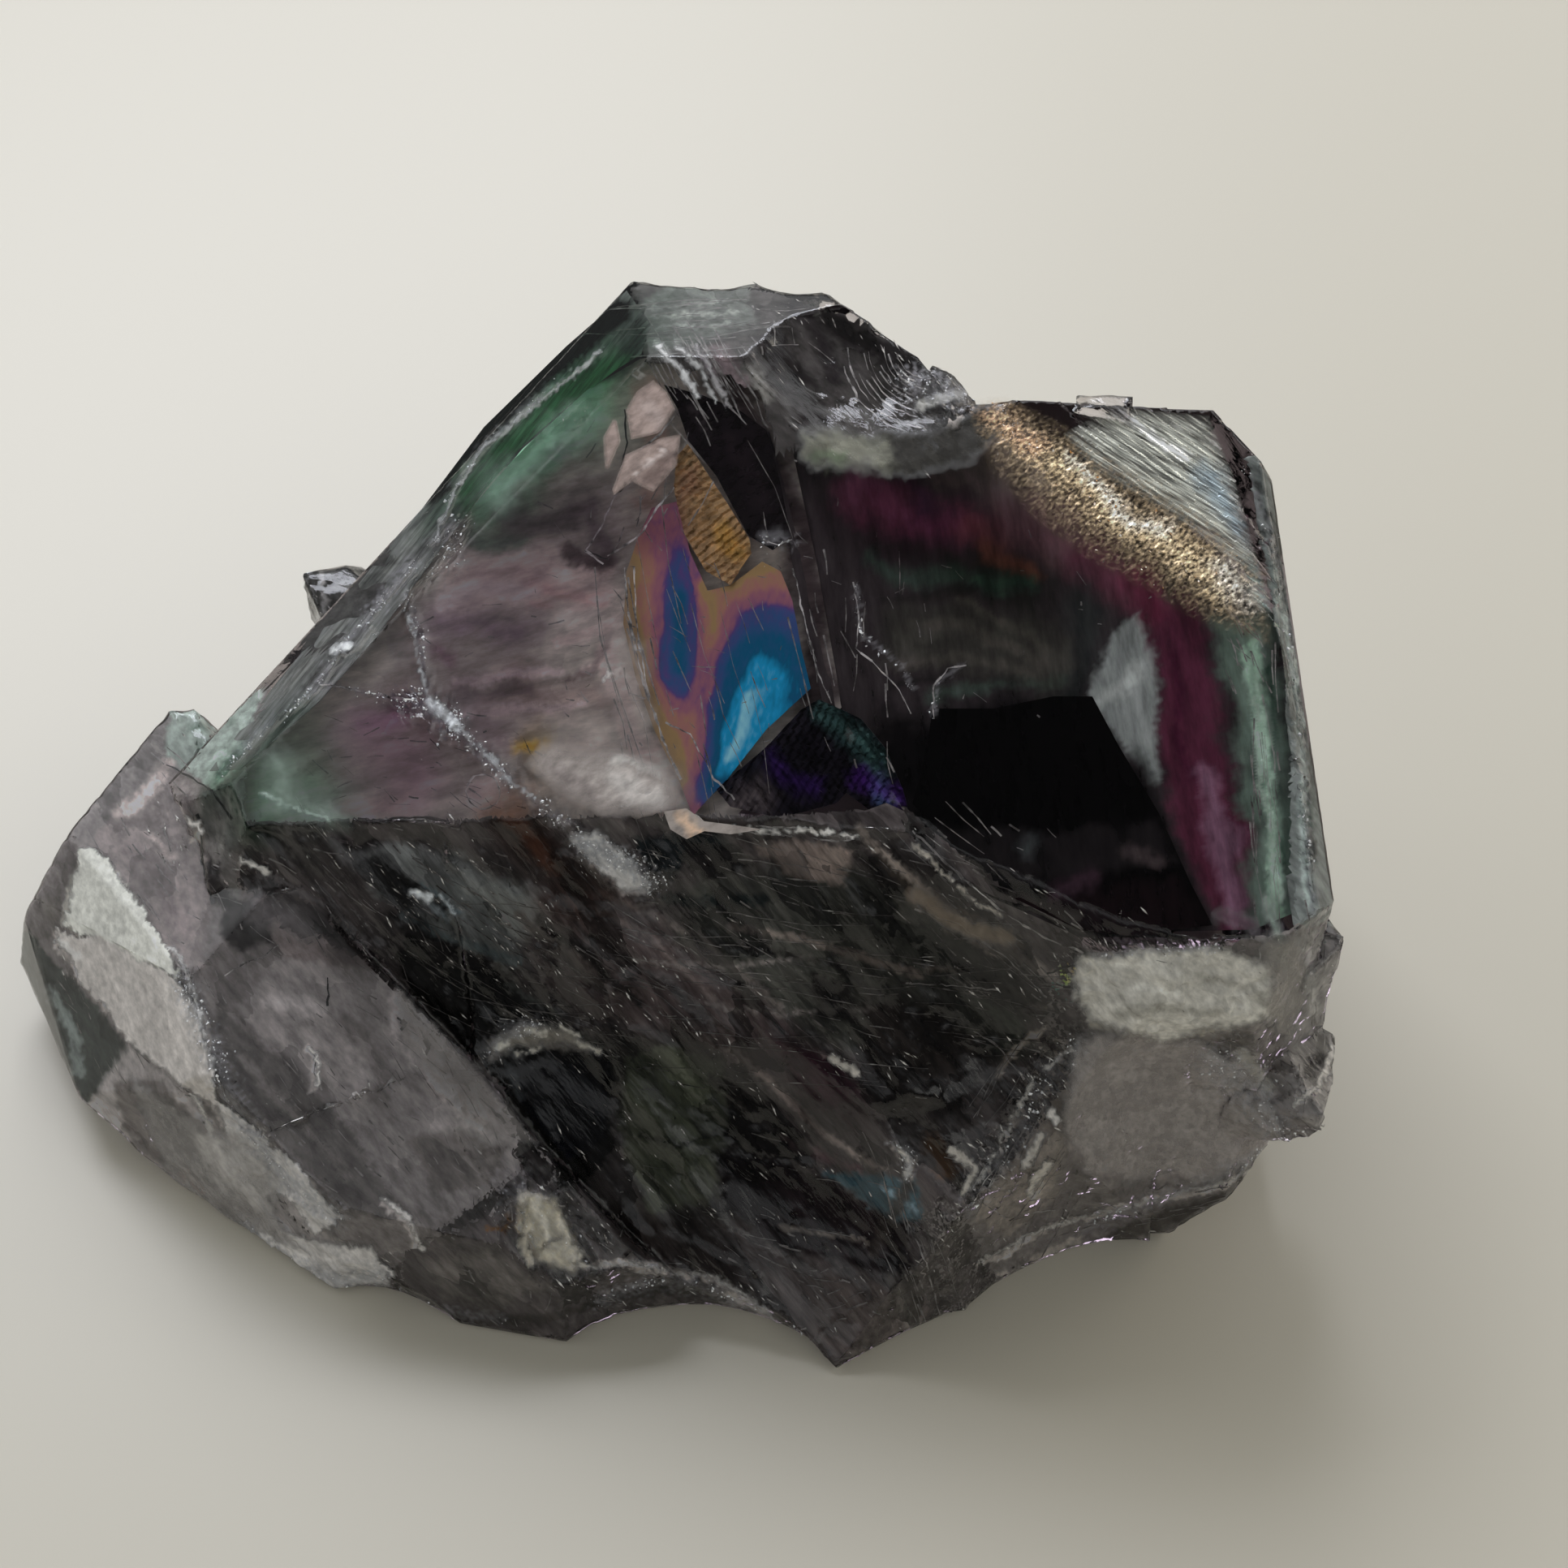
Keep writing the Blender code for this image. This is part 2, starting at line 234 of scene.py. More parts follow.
def distance_to(points, line):
    """Distance of each point from a line of places."""
    if len(line) == 1:
        return np.linalg.norm(points - line[0], axis=1)
    nearest = np.full(len(points), 1e9)
    for start, end in zip(line[:-1], line[1:]):
        run = end - start
        along = np.clip((points - start) @ run / max(run @ run, 1e-9), 0.0, 1.0)
        nearest = np.minimum(nearest, np.linalg.norm(points - start - along[:, None] * run, axis=1))
    return nearest


def soft(value):
    """Smooth step of a number or an array from 0 to 1."""
    value = np.clip(value, 0.0, 1.0)
    return value * value * (3.0 - 2.0 * value)


# meshes: lengths and depths are in millimetres

RIDGE_ANGLE = radians(28.0)
SMOOTH_ROUNDS = 9
EDGE_NICK = 0.22
BRUISE_DEPTH = 0.16
EDGE_SLIDE = 0.25
SHARP_ANGLE = radians(42.0)
FINE_SPACING = 0.42
GROWN_AREA = 20.0
COPLANAR = 0.99997
FOOT_LIFT = 0.02
FOOT_HEIGHT = 0.5
LEAST_BRUISE = 0.1
# how far two unit normals differ at a ridge, and within one flat face
RIDGE_TURN = 0.05
FLAT_TURN = 0.01
# relief of the broken surface: its streaks, hackle, steps, waves, and what frost adds
STREAK_DEPTH = 0.085
HACKLE_DEPTH = 0.045
STEP_DEPTH = 0.10
WAVE_DEPTH = 0.12
FROST_DEPTH = 0.22
FROST_ROUGHENS = 1.3


def new_piece(name, bm, made_of, smooth_angle=None):
    """Object of the specimen from a bmesh in millimetres."""
    bmesh.ops.scale(bm, verts=bm.verts[:], vec=(MM,) * 3)
    mesh = bpy.data.meshes.new(name)
    bm.to_mesh(mesh)
    bm.free()
    return dress(name, mesh, made_of, smooth_angle)


def dress(name, mesh, made_of, smooth_angle=None):
    """Object of the specimen from a mesh, with its finish, riding on its body."""
    piece = bpy.data.objects.new(name, mesh)
    bpy.context.scene.collection.objects.link(piece)
    mesh.materials.clear()
    mesh.materials.append(made_of)
    if smooth_angle is not None:
        mesh.shade_smooth()
        mesh.set_sharp_from_angle(angle=smooth_angle)
    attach(piece, BODY)
    return piece


def split_long(bm, spacing, wanted=None):
    """Halve long edges, of the wanted faces or of all, until none is longer than the spacing."""
    for _ in range(12):
        long_edges = [e for e in bm.edges if e.calc_length() > spacing
                      and (wanted is None or any(f[wanted] for f in e.link_faces))]
        if not long_edges:
            break
        bmesh.ops.subdivide_edges(bm, edges=long_edges, cuts=1, use_single_edge=True,
                                  use_grid_fill=True)
        bmesh.ops.triangulate(bm, faces=[f for f in bm.faces if len(f.verts) > 3],
                              quad_method="SHORT_EDGE")


def mark_broken(bm):
    """Face layer that is 1 on broken surface and 0 on large flat faces."""
    broken = bm.faces.layers.int.new("broken")
    done = set()
    for first in bm.faces:
        if first.index in done:
            continue
        done.add(first.index)
        region, stack = [first], [first]
        while stack:
            for edge in stack.pop().edges:
                for face in edge.link_faces:
                    if face.index not in done and face.normal.dot(first.normal) > COPLANAR:
                        done.add(face.index)
                        stack.append(face)
                        region.append(face)
        worn = int(sum(f.calc_area() for f in region) < GROWN_AREA)
        for face in region:
            face[broken] = worn
    return broken


def mark_fine(bm):
    """Face layer that is 1 beside ridges of the flat faces and along bruised lines."""
    fine = bm.faces.layers.int.new("fine")
    bm.normal_update()
    bm.faces.ensure_lookup_table()
    broken = bm.faces.layers.int["broken"]
    for edge in bm.edges:
        if edge.calc_face_angle(0.0) > RIDGE_ANGLE and any(not f[broken] for f in edge.link_faces):
            for vert in edge.verts:
                for face in vert.link_faces:
                    face[fine] = 1
    centres = np.array([f.calc_center_median() for f in bm.faces])
    near = np.zeros(len(centres), bool)
    for pixels, width, _ in BRUISES:
        near |= distance_to(centres, spots(pixels)) < width + 0.5
    for index in np.nonzero(near)[0]:
        bm.faces[index][fine] = 1
    return fine


def smooth_broken(places, edges, sharp, held, rounds):
    """Round the broken surface between its ridges; ridges are rounded only along their length."""
    ridge = np.zeros(len(places), bool)
    ridge[edges[sharp].ravel()] = True
    for _ in range(rounds):
        total = np.zeros_like(places)
        count = np.zeros(len(places))
        for end, other in ((0, 1), (1, 0)):
            mine = edges[:, end]
            fit = np.where(ridge[mine], sharp, True)
            np.add.at(total, mine[fit], places[edges[fit, other]])
            np.add.at(count, mine[fit], 1.0)
        middle = total / np.maximum(count, 1.0)[:, None]
        move = (~held) & (count > 1.5) & ((~ridge) | (count < 2.5))
        places[move] += 0.5 * (middle[move] - places[move])
    return places


def relief(point):
    """Fine relief of a broken surface in millimetres: streaks, hackle, fine steps, grain."""
    along = point.dot(GRAIN_ALONG)
    across = point.dot(GRAIN_ACROSS)
    third = point.dot(GRAIN_ALONG.cross(GRAIN_ACROSS))
    bend = 0.8 * noise.noise(point / 6.0)
    streak = 1.0 - 2.2 * abs(noise.noise(Vector((along / 7.0, across / 1.1 + bend, third / 1.1))))
    fine = noise.noise(Vector((along / 3.0, across / 0.5, third / 0.5)))
    step = (across / 2.3 + 1.7 * noise.noise(point / 5.0)) % 1.0
    wave = noise.noise(point / 3.5)
    return (STREAK_DEPTH * streak + HACKLE_DEPTH * fine + STEP_DEPTH * (step - 0.5) ** 3 * 8.0
            + WAVE_DEPTH * wave)


def surface_fields(places, grown):
    """Wear and frost of each vertex from the bruised lines and frosted patches."""
    bruise = np.zeros(len(places))
    for pixels, width, strength in BRUISES:
        away = distance_to(places, spots(pixels))
        bruise = np.maximum(bruise, strength * soft(1.3 - away / width))
    frost = np.zeros(len(places))
    for pixels, reach, strength in FROSTS:
        away = distance_to(places, spots(pixels))
        frost = np.maximum(frost, strength * soft(1.4 - away / reach))
    worn = np.where(grown, 0.0, 1.0)
    clump = np.array([noise.noise(Vector(p) / 2.2) + 0.5 * noise.noise(Vector(p) / 0.7) for p in places])
    flecks = worn * 0.25 * soft(0.5 + 1.6 * clump)
    for pixels, reach, strength in FLECKS:
        away = distance_to(places, spots(pixels))
        flecks = np.maximum(flecks, strength * soft(1.2 - away / reach + 0.9 * clump))
    crumbs = bruise ** 2 * soft(0.6 + 1.5 * clump)
    return {"bruise": bruise, "crumbs": crumbs, "frost": frost, "worn": worn, "flecks": flecks}


def stain_colours(places):
    """Tint of each vertex, from the colour zones that meet the surface."""
    tint = np.ones((len(places), 4))
    tint[:, :3] = linear("f2eef0")[:3]
    for index, (pixels, reach, colour, strength) in enumerate(STAINS):
        away = distance_to(places, spots(pixels))
        near = away < reach * 1.6
        uneven = np.array([noise.noise(Vector(p) / 3.0 + Vector((index, 0, 0))) for p in places[near]])
        share = strength * soft(1.25 - away[near] / reach + 0.5 * uneven)
        tint[near, :3] += share[:, None] * (np.array(linear(colour)[:3]) - tint[near, :3])
    return tint


def refine_crystal(spacing_broken, spacing_grown):
    """Fine mesh of the crystal: flat grown faces kept, broken ones rounded and given relief."""
    bm = merged_solid()
    broken = mark_broken(bm)
    split_long(bm, spacing_grown)
    split_long(bm, spacing_broken, broken)
    split_long(bm, FINE_SPACING, mark_fine(bm))
    bm.normal_update()
    bm.verts.index_update()
    places = np.array([v.co for v in bm.verts])
    edges = np.array([[v.index for v in e.verts] for e in bm.edges])
    sharp = np.array([e.calc_face_angle(0.0) > RIDGE_ANGLE for e in bm.edges])
    touches_grown = np.array([any(not f[broken] for f in v.link_faces) for v in bm.verts])
    all_grown = np.array([all(not f[broken] for f in v.link_faces) for v in bm.verts])
    places = smooth_broken(places, edges, sharp, touches_grown, SMOOTH_ROUNDS)
    for vert, place in zip(bm.verts, places):
        vert.co = place
    bm.normal_update()
    fields = surface_fields(places, all_grown)
    bruise, frost = fields["bruise"], fields["frost"]
    for vert in bm.verts:
        i = vert.index
        if all_grown[i]:
            faces = [f.normal for f in vert.link_faces]
            if max((faces[0] - n).length for n in faces) > RIDGE_TURN:
                nick = max(0.0, noise.noise(vert.co / 0.8) - 0.1 + bruise[i])
                vert.co -= vert.normal * EDGE_NICK * min(nick, 1.0)
            elif bruise[i] > LEAST_BRUISE:
                pit = abs(noise.noise(vert.co / 0.45)) * 1.6
                vert.co -= vert.normal * BRUISE_DEPTH * bruise[i] * pit
            continue
        if touches_grown[i]:
            flats = [f.normal for f in vert.link_faces if not f[broken]]
            slide = noise.noise_vector(vert.co / 1.3) * EDGE_SLIDE
            for normal in flats:
                slide = slide - normal * slide.dot(normal)
            if max((flats[0] - n).length for n in flats) < FLAT_TURN and vert.co.z > FOOT_HEIGHT:
                vert.co += slide
            continue
        rough = 1.0 + FROST_ROUGHENS * frost[i]
        vert.co += vert.normal * (relief(vert.co) * rough
                                  + FROST_DEPTH * frost[i] * noise.noise(vert.co / 0.8))
        vert.co.z = max(vert.co.z, FOOT_LIFT)
    tint = stain_colours(places)
    return bm, fields, tint


# cloudy layers in and on the crystal, with painted shade and painted highlights among them: thickness
# and depth are in millimetres, the sizes of the sway and the jags of their strokes are in pixels

LAYER_THICKNESS = 0.04
LAYER_GAIN = 1.5
BRIGHTEST = 0.9
CRUSHED = "b4b5b8"
MM_PER_PIXEL = 0.052
HIDDEN_BY = 1.5
EDGE_ON = 0.08
BARE_COVER = 0.02
TRIM_EDGE = 50
WIDE_SWAY = 50.0
SMALL_SWAY = 15.0
JAG_SIZE = 6.0
JAG_REACH = 5.0
CRUMB_SIZE = 5.0
CLUMP_SIZE = 16.0


class Sight:
    """How the photograph's camera sees into one flat face of the crystal."""

    def __init__(self, u, v):
        self.place, self.facing = spot(u, v)

    def enter(self, u, v):
        """Where a pixel's ray meets the face, and its way inside."""
        ray = pixel_ray(u, v)
        reach = (self.place - CAMERA_PLACE).dot(self.facing) / ray.dot(self.facing)
        return CAMERA_PLACE + ray * reach, bent(ray, self.facing)

    def onto(self, pixels, depth):
        """Points at a depth below the face that are seen at the pixels."""
        place = self.place - self.facing * depth
        found = []
        for u, v in pixels:
            start, way = self.enter(u, v)
            found.append(start + way * ((place - start).dot(self.facing) / way.dot(self.facing)))
        return found


def paint(pixels, ground, strokes, seed, gain):
    """Colour and cover of a cloudy layer at pixels: a ground, then strokes laid over it."""
    sway = np.array([noise.noise_vector(Vector((u / WIDE_SWAY, v / WIDE_SWAY, seed)))
                     + noise.noise_vector(Vector((u / SMALL_SWAY, v / SMALL_SWAY, seed))) * 0.4
                     for u, v in pixels])[:, :2]
    colour = np.tile(np.array(linear(ground[0])[:3]), (len(pixels), 1))
    cover = np.full(len(pixels), float(ground[1]))
    jag = np.array([noise.noise_vector(Vector((u / JAG_SIZE, v / JAG_SIZE, seed)))
                    for u, v in pixels])[:, :2] * JAG_REACH
    for reach, edge, shade, strength, hides, points in strokes:
        at = pixels + jag + sway * min(max(edge, 8.0), 26.0) * 0.7
        line = np.array(points if reach else (*points, points[0]), float)
        away = distance_to(at, line) - reach
        if not reach:
            away = np.where(inside(at, points), -away, away)
        share = strength * soft(0.5 - away / edge)
        colour += share[:, None] * (np.array(linear(shade)[:3]) - colour)
        cover += share * (hides - cover)
    crumb = np.array([noise.noise(Vector((u / CRUMB_SIZE, v / CRUMB_SIZE, seed))) for u, v in pixels])
    for points, width, strength in BRUISES:
        away = distance_to(pixels, np.array(points, float)) * MM_PER_PIXEL
        share = strength * soft(0.9 - away / width + 1.3 * crumb) * 0.8
        colour += np.minimum(share, 1.0)[:, None] * (np.array(linear(CRUSHED)[:3]) / gain - colour)
    lit = colour * gain
    brightest = np.maximum(lit.max(axis=1, keepdims=True), 1e-6)
    return lit * np.minimum(1.0, BRIGHTEST / brightest), cover


def thicken(bm):
    """Give a sheet a second side below it, joined around the rim; the twin of each vertex."""
    bm.normal_update()
    rims = [e for e in bm.edges if len(e.link_faces) == 1]
    sheet = bm.verts[:]
    shell = bmesh.ops.duplicate(bm, geom=bm.verts[:] + bm.edges[:] + bm.faces[:])
    twins = {vert: shell["vert_map"][vert] for vert in sheet}
    for vert, twin in twins.items():
        twin.co = vert.co - vert.normal * LAYER_THICKNESS
    bmesh.ops.reverse_faces(bm, faces=[f for f in shell["geom"] if isinstance(f, bmesh.types.BMFace)])
    for rim in rims:
        one, two = rim.verts
        bm.faces.new((one, two, twins[two], twins[one]))
    bmesh.ops.recalc_face_normals(bm, faces=bm.faces[:])
    bmesh.ops.triangulate(bm, faces=[f for f in bm.faces if len(f.verts) > 3])
    bm.verts.index_update()
    return twins


def inner_plane(name, outline, made_of, painted, at, depth=1.0, spacing=0.5, fade=0.0, shape=None,
                film=None, smooth_angle=SHARP_ANGLE, seed=0.0, gain=LAYER_GAIN):
    """Thin plane inside the crystal that is seen within an outline through the flat face at a
    pixel."""
    sight = Sight(*at)
    bm = bmesh.new()
    bm.faces.new([bm.verts.new((u * MM_PER_PIXEL, -v * MM_PER_PIXEL, 0.0)) for u, v in outline])
    bmesh.ops.triangulate(bm, faces=bm.faces[:])
    split_long(bm, spacing)
    bm.verts.index_update()
    bm.normal_update()
    if sum(f.normal.z for f in bm.faces) < 0.0:
        bmesh.ops.reverse_faces(bm, faces=bm.faces[:])
    pixels = np.array([(v.co.x, -v.co.y) for v in bm.verts]) / MM_PER_PIXEL
    for vert, place in zip(bm.verts, sight.onto(pixels, depth)):
        vert.co = place
        if shape:
            vert.co += sight.facing * shape(vert.co)
    twins = thicken(bm)
    seen = np.zeros((len(bm.verts), 2))
    for vert, twin in twins.items():
        seen[vert.index] = pixels[vert.index]
        seen[twin.index] = pixels[vert.index]
    return dress_layer(name, bm, made_of, seen, outline, fade, painted, film, smooth_angle, seed, gain)


def drop_bare(bm, strokes, seed):
    """Take away the faces that no stroke covers."""
    bm.verts.index_update()
    seen = to_pixels(np.array([v.co for v in bm.verts]))
    covered = paint(seen, ("000000", 0.0), strokes, seed, 1.0)[1] > BARE_COVER
    bare = [f for f in bm.faces if not any(covered[v.index] for v in f.verts)]
    bmesh.ops.delete(bm, geom=bare, context="FACES")


def inner_skin(name, outline, made_of, painted, spacing, seed, gain, depth=0.3, trim=False):
    """Thin layer just inside the surface, under the part of it that is seen within an outline.
    A negative depth lays it on the surface, and trimming leaves only what its strokes cover."""
    bm = bmesh.new()
    bm.from_mesh(bpy.data.objects["crystal"].data)
    bmesh.ops.scale(bm, verts=bm.verts[:], vec=(1.0 / MM,) * 3)
    bm.normal_update()
    centres = np.array([f.calc_center_median() for f in bm.faces])
    normals = np.array([f.normal for f in bm.faces])
    toward = np.array(CAMERA_PLACE) - centres
    toward /= np.linalg.norm(toward, axis=1)[:, None]
    keep = inside(to_pixels(centres), outline) & (np.einsum("ij,ij->i", normals, toward) > EDGE_ON)
    for i in np.nonzero(keep)[0]:
        away = Vector(centres[i]) - CAMERA_PLACE
        hit = SOLID.ray_cast(CAMERA_PLACE, away.normalized())
        keep[i] = hit[0] is None or away.length - hit[3] < HIDDEN_BY
    bmesh.ops.delete(bm, geom=[f for f, kept in zip(bm.faces[:], keep) if not kept], context="FACES")
    if trim:
        split_long(bm, 3.0 * spacing)
        drop_bare(bm, [(reach, max(edge, TRIM_EDGE), *rest) for reach, edge, *rest in painted[1]], seed)
    split_long(bm, spacing)
    if trim:
        drop_bare(bm, painted[1], seed)
    bm.normal_update()
    for vert, normal in [(v, v.normal.copy()) for v in bm.verts]:
        vert.co -= normal * (depth + 0.5 * depth * noise.noise(vert.co / 2.5))
    thicken(bm)
    seen = to_pixels(np.array([v.co for v in bm.verts]))
    return dress_layer(name, bm, made_of, seen, outline, 0.0, painted, None, SHARP_ANGLE, seed, gain)


def dress_layer(name, bm, made_of, seen, outline, fade, painted, film, smooth_angle, seed, gain):
    """Object of a layer, with its colour, cover and film values at its vertices."""
    colour, cover = paint(seen, *painted, seed, gain)
    if fade:
        rim = np.array((*outline, outline[0]), float)
        cover *= np.clip(distance_to(seen, rim) / fade, 0.0, 1.0)
    clump = np.array([noise.noise(Vector((u / CLUMP_SIZE, v / CLUMP_SIZE, 9.0))) for u, v in seen])
    values = {"cover": cover, "glitter": cover ** 2 * soft(0.6 + 1.6 * clump)}
    if film:
        values["film"] = film(seen)
    piece = new_piece(name, bm, made_of, smooth_angle)
    set_values(piece, values, {"veil_and_painted_light": colour})
    return piece


def inside(points, outline):
    """Which of the points lie inside an outline of pixels."""
    within = np.zeros(len(points), bool)
    for (u0, v0), (u1, v1) in zip(outline, (*outline[1:], outline[0])):
        crosses = (points[:, 1] < v0) != (points[:, 1] < v1)
        where = u0 + (points[:, 1] - v0) * (u1 - u0) / ((v1 - v0) or 1e-9)
        within ^= crosses & (points[:, 0] < where)
    return within


def set_values(piece, values, colours=None):
    """Store named numbers and colours at a piece's vertices."""
    for name, numbers in values.items():
        layer = piece.data.attributes.new(name, "FLOAT", "POINT")
        layer.data.foreach_set("value", np.asarray(numbers, np.float32))
    for name, colour in (colours or {}).items():
        layer = piece.data.color_attributes.new(name, "FLOAT_COLOR", "POINT")
        full = np.ones((len(colour), 4), np.float32)
        full[:, :3] = colour[:, :3]
        layer.data.foreach_set("color", full.ravel())


# material nodes

def blank(name):
    """New material and its empty node tree."""
    made = bpy.data.materials.new(name)
    made.use_nodes = True
    made.node_tree.nodes.clear()
    return made, made.node_tree


def add(tree, kind, inputs=None, stops=(), **settings):
    """Node with its settings, its stops of place and colour, and its inputs set to values or
    linked to sockets or to another node's first output."""
    made = tree.nodes.new(kind)
    for name, value in settings.items():
        setattr(made, name, value)
    for name, value in (inputs or {}).items():
        if isinstance(value, bpy.types.Node):
            value = value.outputs[0]
        if isinstance(value, bpy.types.NodeSocket):
            tree.links.new(value, made.inputs[name])
        else:
            made.inputs[name].default_value = value
    if stops:
        bar = made.color_ramp.elements
        while len(bar) < len(stops):
            bar.new(0.5)
        for element, (place, colour) in zip(bar, stops):
            element.position = place
            element.color = linear(colour) if isinstance(colour, str) else (colour,) * 3 + (1.0,)
    return made


def scaled_place(tree, sizes_mm, turn):
    """Object coordinates in units of given sizes in millimetres along three turned axes."""
    place = add(tree, "ShaderNodeTexCoord").outputs["Object"]
    mapped = add(tree, "ShaderNodeMapping", {
        "Vector": place, "Rotation": turn, "Scale": [size * MM for size in sizes_mm]},
        vector_type="TEXTURE")
    return mapped.outputs["Vector"]


def pattern(tree, sizes_mm, turn=(0.0, 0.0, 0.0), detail=3.0):
    """Noise with features of given sizes in millimetres along three turned axes."""
    made = add(tree, "ShaderNodeTexNoise", {"Vector": scaled_place(tree, sizes_mm, turn), "Scale": 1.0,
                                            "Detail": detail, "Roughness": 0.6})
    return made.outputs["Fac"]


def splinters(tree, sizes_mm, turn=(0.0, 0.0, 0.0)):
    """Random number for each angular cell, as splintered glass catches the light."""
    place = scaled_place(tree, sizes_mm, turn)
    shake = add(tree, "ShaderNodeTexNoise", {"Vector": place, "Scale": 2.2, "Detail": 3.0})
    moved = add(tree, "ShaderNodeVectorMath", {0: shake.outputs["Color"], 1: (0.55, 0.55, 0.55),
                                               2: place}, operation="MULTIPLY_ADD")
    cells = add(tree, "ShaderNodeTexVoronoi", {"Vector": moved, "Scale": 1.0})
    return add(tree, "ShaderNodeSeparateColor", {"Color": cells.outputs["Color"]}).outputs["Red"]


def finish_material(tree, shader, volume=None):
    """Join a shader, and a volume where there is one, to the material's output."""
    out = add(tree, "ShaderNodeOutputMaterial", {"Surface": shader.outputs[0]})
    if volume:
        tree.links.new(volume.outputs[0], out.inputs["Volume"])


def smoky_fluorite(settings):
    """Natural fluorite, as grown and as broken: clear, smoky, glassy on the grown faces and
    satin with fine scratches and hackle where it broke."""
    made, tree = blank("smoky_fluorite")
    tint = add(tree, "ShaderNodeAttribute", attribute_name="tint").outputs["Color"]
    worn = add(tree, "ShaderNodeAttribute", attribute_name="worn").outputs["Fac"]
    frost = add(tree, "ShaderNodeAttribute", attribute_name="frost").outputs["Fac"]
    hackle = pattern(tree, (1.6, 0.35, 0.5), GRAIN_TURN, detail=2.0)
    satin = add(tree, "ShaderNodeMath", {0: hackle, 1: 0.12}, operation="MULTIPLY")
    rough = add(tree, "ShaderNodeMath", {0: worn, 1: satin, 2: 0.012}, operation="MULTIPLY_ADD")
    rough = add(tree, "ShaderNodeMath", {0: frost, 1: 0.28, 2: rough}, operation="MULTIPLY_ADD")
    strength = add(tree, "ShaderNodeMath", {0: frost, 1: 0.5, 2: 0.004}, operation="MULTIPLY_ADD")
    strength = add(tree, "ShaderNodeMath", {0: worn, 1: 0.12, 2: strength}, operation="MULTIPLY_ADD")
    bump = add(tree, "ShaderNodeBump", {"Height": hackle, "Strength": strength, "Distance": 0.0004})
    shader = add(tree, "ShaderNodeBsdfPrincipled", {
        "Base Color": tint, "Roughness": rough, "IOR": IOR_FLUORITE,
        "Transmission Weight": 1.0, "Normal": bump})
    smoke = add(tree, "ShaderNodeVolumeAbsorption", {
        "Color": (*settings.smoke_colour, 1.0), "Density": settings.smoke_density})
    finish_material(tree, shader, smoke)
    return made


def interference_film():
    """Air film in a cleavage crack: mirror-like, in Newton's colours from brown gold where it
    is thinnest through magenta and blue to cyan."""
    made, tree = blank("interference_film")
    film = add(tree, "ShaderNodeAttribute", attribute_name="film").outputs["Fac"]
    streak = pattern(tree, (0.25, 1.6, 0.6), (0.0, 0.0, -0.35), detail=3.0)
    thinner = add(tree, "ShaderNodeMath", {0: film, 1: 0.05}, operation="SUBTRACT")
    shift = add(tree, "ShaderNodeMath", {0: streak, 1: 0.10, 2: thinner}, operation="MULTIPLY_ADD")
    colour = add(tree, "ShaderNodeValToRGB", {"Fac": shift}, FILM_COLOURS)
    cover = add(tree, "ShaderNodeAttribute", attribute_name="cover").outputs["Fac"]
    shader = add(tree, "ShaderNodeBsdfPrincipled", {
        "Base Color": colour, "Metallic": 0.3, "Roughness": 0.4, "Specular IOR Level": 0.1,
        "Alpha": cover})
    finish_material(tree, shader)
    return made


# range of the noise that wisps take up, the cap on their brightness, and a crack's dim colour
WISP_LOW = 0.32
WISP_HIGH = 0.68
LIGHTEST = 0.94
CRACK_SMOKE = "45423f"


def cloud_and_light_finish(name, sizes_mm, turn=(0.0, 0.0, 0.0), depth=0.6, roughness=0.6, metallic=0.0, patchy=0.3,
            splinter_mm=None, splinter_depth=0.5):
    """Cloudy layer in fluorite, a healed crack, a colour zone or a cleavage, and also painted shade,
    glints and highlights: colours and cover come from its vertices, fine wisps of the given sizes
    lighten and thin it, and splinters break it up into angular cells."""
    made, tree = blank(name)
    wisp = pattern(tree, sizes_mm, turn, detail=5.0)
    light = add(tree, "ShaderNodeMapRange", {
        "Value": wisp, "From Min": WISP_LOW, "From Max": WISP_HIGH, "To Min": 1.0 - depth,
        "To Max": 1.0 + depth})
    if splinter_mm:
        share = add(tree, "ShaderNodeMath", {
            0: splinters(tree, splinter_mm, turn), 1: 2.0 * splinter_depth, 2: 1.0 - splinter_depth},
            operation="MULTIPLY_ADD")
        light = add(tree, "ShaderNodeMath", {0: light, 1: share}, operation="MULTIPLY")
    veil_and_painted_light = add(tree, "ShaderNodeAttribute", attribute_name="veil_and_painted_light").outputs["Color"]
    scaled = add(tree, "ShaderNodeVectorMath", {0: veil_and_painted_light, "Scale": light}, operation="SCALE")
    colour = add(tree, "ShaderNodeVectorMath", {0: scaled, 1: (LIGHTEST,) * 3}, operation="MINIMUM")
    cover = add(tree, "ShaderNodeAttribute", attribute_name="cover").outputs["Fac"]
    thin = add(tree, "ShaderNodeMapRange", {
        "Value": wisp, "From Min": WISP_LOW, "From Max": WISP_HIGH, "To Min": 1.0 - patchy,
        "To Max": 1.0 + patchy})
    alpha = add(tree, "ShaderNodeMath", {0: cover, 1: thin}, operation="MULTIPLY", use_clamp=True)
    shader = add(tree, "ShaderNodeBsdfPrincipled", {
        "Base Color": colour, "Roughness": roughness, "Metallic": metallic,
        "Specular IOR Level": 0.04, "Alpha": alpha})
    finish_material(tree, shader)
    return made


def crack_face(name, colour):
    """Face of a hairline crack, a scratch or a painted glint: its colour comes and goes along its
    length by noise, from the smoke of the stone to its own colour, a painted glint where it would
    tilt towards the light; dark cracks keep their own colour."""
    made, tree = blank(name)
    shade = add(tree, "ShaderNodeValToRGB", {"Fac": pattern(tree, (0.9, 0.9, 0.9))},
                ((0.36, CRACK_SMOKE), (0.62, colour)))
    shader = add(tree, "ShaderNodeBsdfPrincipled", {
        "Base Color": linear(colour) if name == "dark_cracks" else shade, "Roughness": 0.35})
    finish_material(tree, shader)
    return made


